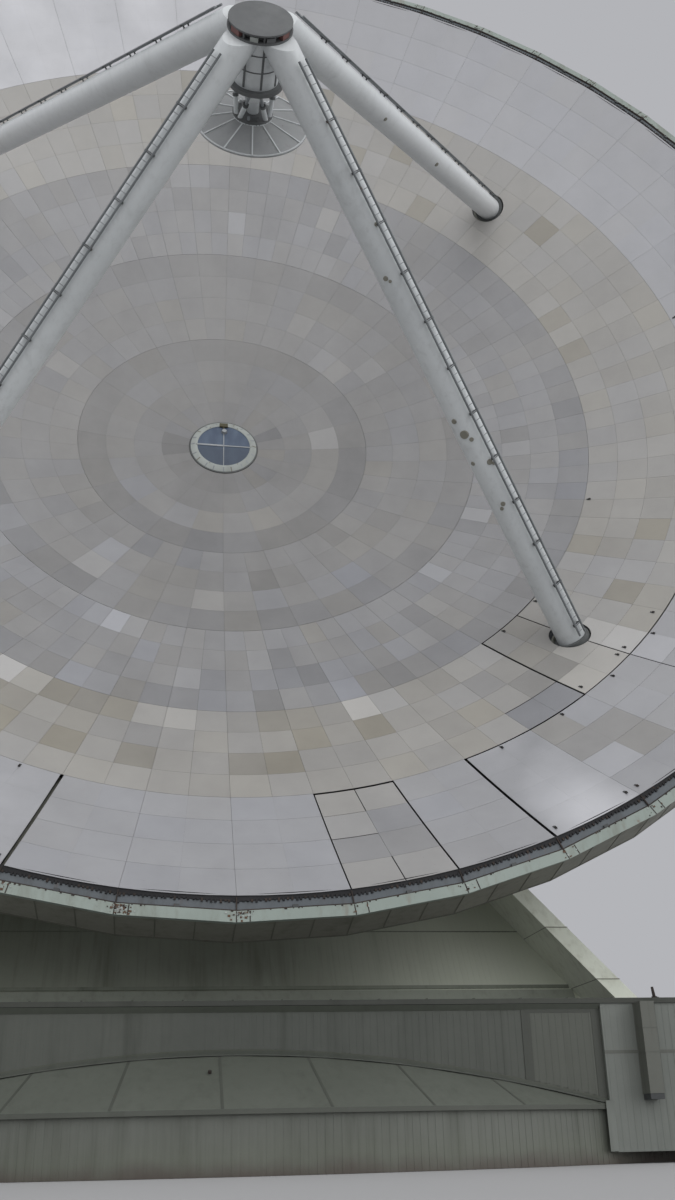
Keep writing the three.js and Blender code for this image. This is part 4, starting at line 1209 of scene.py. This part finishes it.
BACK_RINGS = (0.3, 0.53, 0.77)
HUB = Sizes(x=3.0, y=3.0, low=-4.38, high=0.2)
HUB_SEAMS_Z = (HUB.low, -2.6, HUB.high - 0.05)
HUB_SEAM_X = 2.1
SEAM = Sizes(half=0.03, high=0.07)
GEAR = Sizes(half=1.2, hub=1.6, start=2, to=97)
GEAR_WEB = Sizes(half=0.8, outer=6.9)
GEAR_RAIL = Sizes(wide=0.36, inner=6.7, outer=7.3, tip=7.49)
GEAR_RIB = Sizes(count=9, inset=0.22, wide=0.12, deep=0.4)
GEAR_TOOTH = Sizes(count=84, wide=0.08)
ARM_OUT = 5.7
BEARING = Sizes(radii=(1.03, 1.46), deep=0.16, bolts=16, bolt_circle=1.28)
TRUNNION = Sizes(end=5.98, radius=0.84, cap=0.3, bolts=10, bolt_circle=0.66)
ARM = Sizes(foot=4.5, top=1.75)
ARM_SEAMS = (21.4, 23.8, 26.2)
CROSSHEAD_SEAM = Sizes(half=0.025, proud=0.014, a_side=7)
CROSSHEAD_EDGE = Sizes(proud=0.03, high=0.12)
DRIVE = Sizes(x=0.9, y=1.1, foot=19.0012, top=21.23)
DRIVE_BOX = Sizes(plate=0.22, half=0.5, down=0.52)
CHEEK = Sizes(half=0.36, low=0.6, high=0.1)
MOTOR = Sizes(x=0.42, up=0.75, radius=0.34, start=0.48, fins=5)
PINION = Sizes(down=0.26, radius=0.19, teeth=12)
COUNTERWEIGHT = Sizes(near=1.2012, far=2.7, y=2.2, high=-4.4012, low=-7.4, plates=12)


def back_side():
    with piece("backing_seams", "dish", "backing", (SOFT_SEAM,)) as bm:
        hub, wall = BACKING_HUB.radius, SIDE_WALL.radius
        low, high = BACKING_HUB.z, dish_height(RING_EDGES[-1]) - SIDE_WALL.depth
        for turn in angles(RIM_SIDES):
            beam(bm, about(turn, hub + 0.1, low + 0.055), about(turn, wall - 0.05, high), 0.05, 0.035)
        for share in BACK_RINGS:
            radius, height = hub + (wall - hub) * share, low + (high - low) * share
            turned(bm, [(radius - 0.02, height - 0.03), (radius + 0.03, height - 0.01),
                        (radius + 0.03, height + 0.03), (radius - 0.02, height + 0.02)], RIM_SIDES)
    with piece("hub_seams", "dish", "steel", (HIP_SEAM,)) as bm:
        y, low, high, half = HUB.y, HUB.low, HUB.high, SEAM.half
        for x in (-HUB.x, HUB.x):
            for at in (-y + 0.06, -y / 2, y / 2, y - 0.06):
                block(bm, (x - half, at - 0.04, low), (x + half, at + 0.04, high))
            for z in HUB_SEAMS_Z:
                block(bm, (x - half, -y, z), (x + half, y, z + SEAM.high))
            for sy in (-1, 1):
                seam = math.copysign(HUB_SEAM_X, x)
                block(bm, (seam - half, sy * y - 0.02, low), (seam + half, sy * y + 0.02, high - 0.05))


def gear_point(turn_deg, radius, x):
    """A point beside the gear, at an angle from the dish's foot round to its back."""
    turn = math.radians(turn_deg)
    return Vector((x, -radius * math.cos(turn), -radius * math.sin(turn)))


def gear_arc(bm, x0, x1, inner, outer):
    corners = ((x0, inner), (x1, inner), (x1, outer), (x0, outer))
    face = bm.faces.new([bm.verts.new(gear_point(GEAR.start, radius, x)) for x, radius in corners])
    bmesh.ops.spin(bm, geom=[face], cent=(0, 0, 0), axis=(1, 0, 0),
                   angle=math.radians(GEAR.to - GEAR.start), steps=32)
    give_rest(bm, 0)


def gear_spokes(bm, count, x, inner, outer, width, depth, finish=0):
    for spoke in range(count):
        turn = GEAR.start + (GEAR.to - GEAR.start) * (spoke + 0.5) / count
        beam(bm, gear_point(turn, inner, x), gear_point(turn, outer, x), width, depth, (1, 0, 0), finish)


def gear():
    half, wide = GEAR.half, GEAR_RAIL.wide
    with piece("gear_sector", "dish", "steel", (STEEL, DARK), "elevation_gear") as bm:
        gear_arc(bm, -GEAR_WEB.half, GEAR_WEB.half, GEAR.hub, GEAR_WEB.outer)
        for side in (-1, 1):
            x0, x1 = sorted((side * half, side * (half - wide)))
            gear_arc(bm, x0, x1, GEAR_RAIL.inner, GEAR_RAIL.outer)
            gear_arc(bm, x0, x1, GEAR.hub, GEAR.hub + 0.35)
            gear_spokes(bm, GEAR_RIB.count, side * (half - GEAR_RIB.inset), GEAR.hub + 0.3,
                        GEAR_RAIL.inner + 0.05, GEAR_RIB.wide, GEAR_RIB.deep)
            gear_spokes(bm, GEAR_TOOTH.count, (x0 + x1) / 2, GEAR_RAIL.outer - 0.02,
                        GEAR_RAIL.tip, GEAR_TOOTH.wide, wide, 1)


def bolts(bm, count, radius, height, long, size):
    """A circle of bolts on a flange of the elevation axle."""
    for turn in angles(count):
        peg(bm, about(turn, radius, height), long, size, 6, 1)


def bearings():
    with piece("bearing_rings", "alidade", "steel", (STEEL, DARK), smooth=35, place=AXLE) as bm:
        for side in (-1, 1):
            faces = sorted((side * (ARM_OUT + 0.0012), side * (ARM_OUT + BEARING.deep)))
            hoop(bm, BEARING.radii, faces, 48)
            bolts(bm, BEARING.bolts, BEARING.bolt_circle, side * (ARM_OUT + 0.1), side * 0.13, 0.07)
    with piece("trunnion_caps", "dish", "steel", (STEEL, DARK), smooth=35, place=AXLE) as bm:
        end = TRUNNION.end
        for side in (-1, 1):
            disc(bm, side * end, side * (end + 0.08), TRUNNION.radius, 40)
            disc(bm, side * (end + 0.07), side * (end + 0.14), TRUNNION.cap, 24)
            bolts(bm, TRUNNION.bolts, TRUNNION.bolt_circle, side * (end + 0.05), side * 0.08, 0.06)


def yoke_details():
    foot, top = CROSSHEAD.z1 + 0.02, AXIS_Z
    with piece("yoke_flanges", "alidade", "steel", (STEEL, HIP_SEAM)) as bm:
        for sx in (-1, 1):
            x = sx * ARM_OUT
            for sy in (-1, 1):
                beam(bm, (x, sy * (ARM.foot - 0.12), foot), (x, sy * (ARM.top - 0.1), top),
                     0.2, 0.12, (sx, 0, 0))
            reach = ARM.foot - 0.05
            block(bm, (x - 0.05, -reach, foot - 0.015), (x + 0.05, reach, foot + 0.18))
            for z in ARM_SEAMS:
                reach = ARM.foot - (ARM.foot - ARM.top) * (z - foot) / (top - foot) - 0.1
                block(bm, (x - SEAM.half, -reach, z), (x + SEAM.half, reach, z + SEAM.high), 1)
    with piece("crosshead_seams", "alidade", "steel", (HIP_SEAM,), twice=True) as bm:
        low, high = CROSSHEAD.z0 + 0.03, CROSSHEAD.z1 - 0.03
        out_x, out_y = CROSSHEAD.x, CROSSHEAD.y
        half, proud, count = CROSSHEAD_SEAM.half, CROSSHEAD_SEAM.proud, CROSSHEAD_SEAM.a_side
        for seam in range(-(count // 2), count // 2 + 1):
            x, y = 2 * seam * out_x / count, 2 * seam * out_y / count
            block(bm, (x - half, -out_y - proud, low), (x + half, -out_y + 0.01, high))
            block(bm, (out_x - 0.01, y - half, low), (out_x + proud, y + half, high))
        edge_x, edge_y = out_x + CROSSHEAD_EDGE.proud, out_y + CROSSHEAD_EDGE.proud
        for z in (low, high - CROSSHEAD_EDGE.high):
            over = z + CROSSHEAD_EDGE.high
            block(bm, (-edge_x, -edge_y, z), (edge_x, -out_y, over))
            block(bm, (out_x, -edge_y, z), (edge_x, edge_y, over))


def drive():
    x, y, foot, top = DRIVE.x, DRIVE.y, DRIVE.foot, DRIVE.top
    with piece("drive_unit", "alidade", "dark", (DARK, STEEL, OLIVE), "elevation_drive", 35) as bm:
        half = DRIVE_BOX.half
        block(bm, (-x, -y, foot), (x, y, foot + DRIVE_BOX.plate))
        block(bm, (-x + 0.06, -half, foot + 0.2), (x - 0.06, half, top - DRIVE_BOX.down), 1)

        def across(side, start, end, radius, finish=0):
            """A round part of a motor, which lies along Y."""
            at = side * MOTOR.x, foot + MOTOR.up
            rod(bm, (at[0], side * start, at[1]), (at[0], side * end, at[1]), radius, 20, finish)

        for side in (-1, 1):
            block(bm, (side * (x - 0.26), -CHEEK.half, top - CHEEK.low),
                  (side * (x - 0.06), CHEEK.half, top - CHEEK.high))
            across(side, MOTOR.start, y - 0.04, MOTOR.radius, 2)
            for fin in range(MOTOR.fins):
                across(side, 0.56 + fin * 0.1, 0.59 + fin * 0.1, MOTOR.radius + 0.04)
        axis = Vector((0, 0, top - PINION.down))
        reach = Vector((x - 0.1, 0, 0))
        rod(bm, axis - reach, axis + reach, PINION.radius, 20, 1)
        for tooth in range(PINION.teeth):
            turn = math.tau * tooth / PINION.teeth
            out = Vector((0, math.cos(turn), math.sin(turn)))
            middle, reach = axis + out * (PINION.radius + 0.01), Vector((x - 0.3, 0, 0))
            beam(bm, middle - reach, middle + reach, 0.05, 0.1, out)


def counterweights():
    y, low, high, plates = COUNTERWEIGHT.y, COUNTERWEIGHT.low, COUNTERWEIGHT.high, COUNTERWEIGHT.plates
    rise = (high - low) / plates
    for name, sx in (("right", 1), ("left", -1)):
        x0, x1 = sorted((sx * COUNTERWEIGHT.near, sx * COUNTERWEIGHT.far))
        with piece(f"ballast_{name}", "dish", "steel", (STEEL, DARK), f"counterweight_{name}") as bm:
            block(bm, (x0 + 0.07, -y + 0.07, low + 0.02), (x1 - 0.07, y - 0.07, high), 1)
            for z in (low + rise * number for number in range(plates)):
                block(bm, (x0, -y, z + 0.012), (x1, y, z + rise - 0.012))
            for end, at in product((-1, 1), (0.35, 1.6)):
                peg(bm, Vector(((x0 + x1) / 2, end * at, low)), 0.03, 0.12, 8, 1)


# Camera, light and floor

CAMERA_PLACE = Vector((-2.171, -53.399, 0.721))
CAMERA_HEADING_DEG = 8.74
CAMERA_PITCH_DEG = 24.326
CAMERA_ROLL_DEG = -1.356
CAMERA_LENS_MM = 35.961
CAMERA_SENSOR_MM = 36.0
CAMERA_REACH = 1000
WORLD = Sizes(colour=(0.60, 0.608, 0.64, 1.0), strength=0.75)
# Name, strength, spread in degrees and the way towards the light
LIGHTS = (("front_light", 1.35, 90, (0.1, -0.95, 0.12)), ("sky_light", 0.6, 80, (0.2, -0.3, 0.93)),
          ("right_light", 0.85, 60, (0.85, -0.42, 0.15)), ("left_light", 0.35, 60, (-0.9, -0.12, 0.42)))
FLOOR = Sizes(colour=(0.42, 0.42, 0.42, 1.0), radius=320, z=-0.002)


def camera():
    data = bpy.data.cameras.new("camera")
    data.lens = CAMERA_LENS_MM
    data.sensor_width = CAMERA_SENSOR_MM
    data.clip_end = CAMERA_REACH
    view = bpy.data.objects.new("camera", data)
    turns = ((-CAMERA_HEADING_DEG, "Z"), (90 + CAMERA_PITCH_DEG, "X"), (CAMERA_ROLL_DEG, "Z"))
    heading, pitch, roll = (Matrix.Rotation(math.radians(turn), 4, axis) for turn, axis in turns)
    view.matrix_world = Matrix.Translation(CAMERA_PLACE * MODEL_SCALE) @ heading @ pitch @ roll
    bpy.context.scene.collection.objects.link(view)
    bpy.context.scene.camera = view


def studio():
    world = bpy.data.worlds.new("studio")
    world.use_nodes = True
    background = world.node_tree.nodes["Background"]
    background.inputs["Color"].default_value = WORLD.colour
    background.inputs["Strength"].default_value = WORLD.strength
    bpy.context.scene.world = world
    bpy.context.scene.view_settings.view_transform = "Standard"
    for name, energy, spread_deg, source in LIGHTS:
        sun = bpy.data.lights.new(name, "SUN")
        sun.energy = energy
        sun.angle = math.radians(spread_deg)
        lamp = bpy.data.objects.new(name, sun)
        lamp.rotation_euler = Vector(source).to_track_quat("Z", "Y").to_euler()
        bpy.context.scene.collection.objects.link(lamp)
    bm = bmesh.new()
    bmesh.ops.create_circle(bm, cap_ends=True, segments=64, radius=FLOOR.radius)
    mesh = bpy.data.meshes.new("floor")
    bm.to_mesh(mesh)
    bm.free()
    mesh.materials.append(Finish("pale_floor", 0.0, 0.9).done(FLOOR.colour))
    floor = bpy.data.objects.new("floor", mesh)
    floor.location.z = FLOOR.z
    bpy.context.scene.collection.objects.link(floor)


# The finishes of the CAD solids that stay in sight, by the start of their names
SOLIDS = {"foundation_wall": FOUNDATION, "base_wall_": SHADED_WALL_SHEET, "corner_tower_": TOWER_SHEET,
          "gable_front": GABLE_END, "gable_back": GABLE_END, "gable_right": GABLE_SIDE,
          "gable_left": GABLE_SIDE, "base_roof": ROOF_EDGE, "duct_": DUCT_SHEET, "hip_": HIP,
          "turntable": STEEL, "crosshead": STEEL, "yoke_arm_": STEEL, "hub_housing": STEEL,
          "backing_": BACKING, "rim_band": RIM_STEEL, "rim_fascia": FASCIA}


def finish_solids():
    for (start, finish), (name, node) in product(SOLIDS.items(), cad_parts.items()):
        if name.startswith(start):
            node.data.materials.clear()
            node.data.materials.append(finish)


camera()
studio()
finish_solids()
for ring_number in range(1, 6):
    reflector_ring(ring_number)
bored("reflector_ring_4", [(leg_point(turn, -1.2), leg_point(turn, 2), LEG.hole)
                           for turn in LEG_TURNS.values()])
for make in (rim, fascia_rust, segment_hooks, lost_bracket, legs, vertex, apex, base_ribs, wall_flashings,
             base_seams, ducts, roof, foundation_details, back_side, gear, bearings, yoke_details, drive,
             counterweights):
    make()
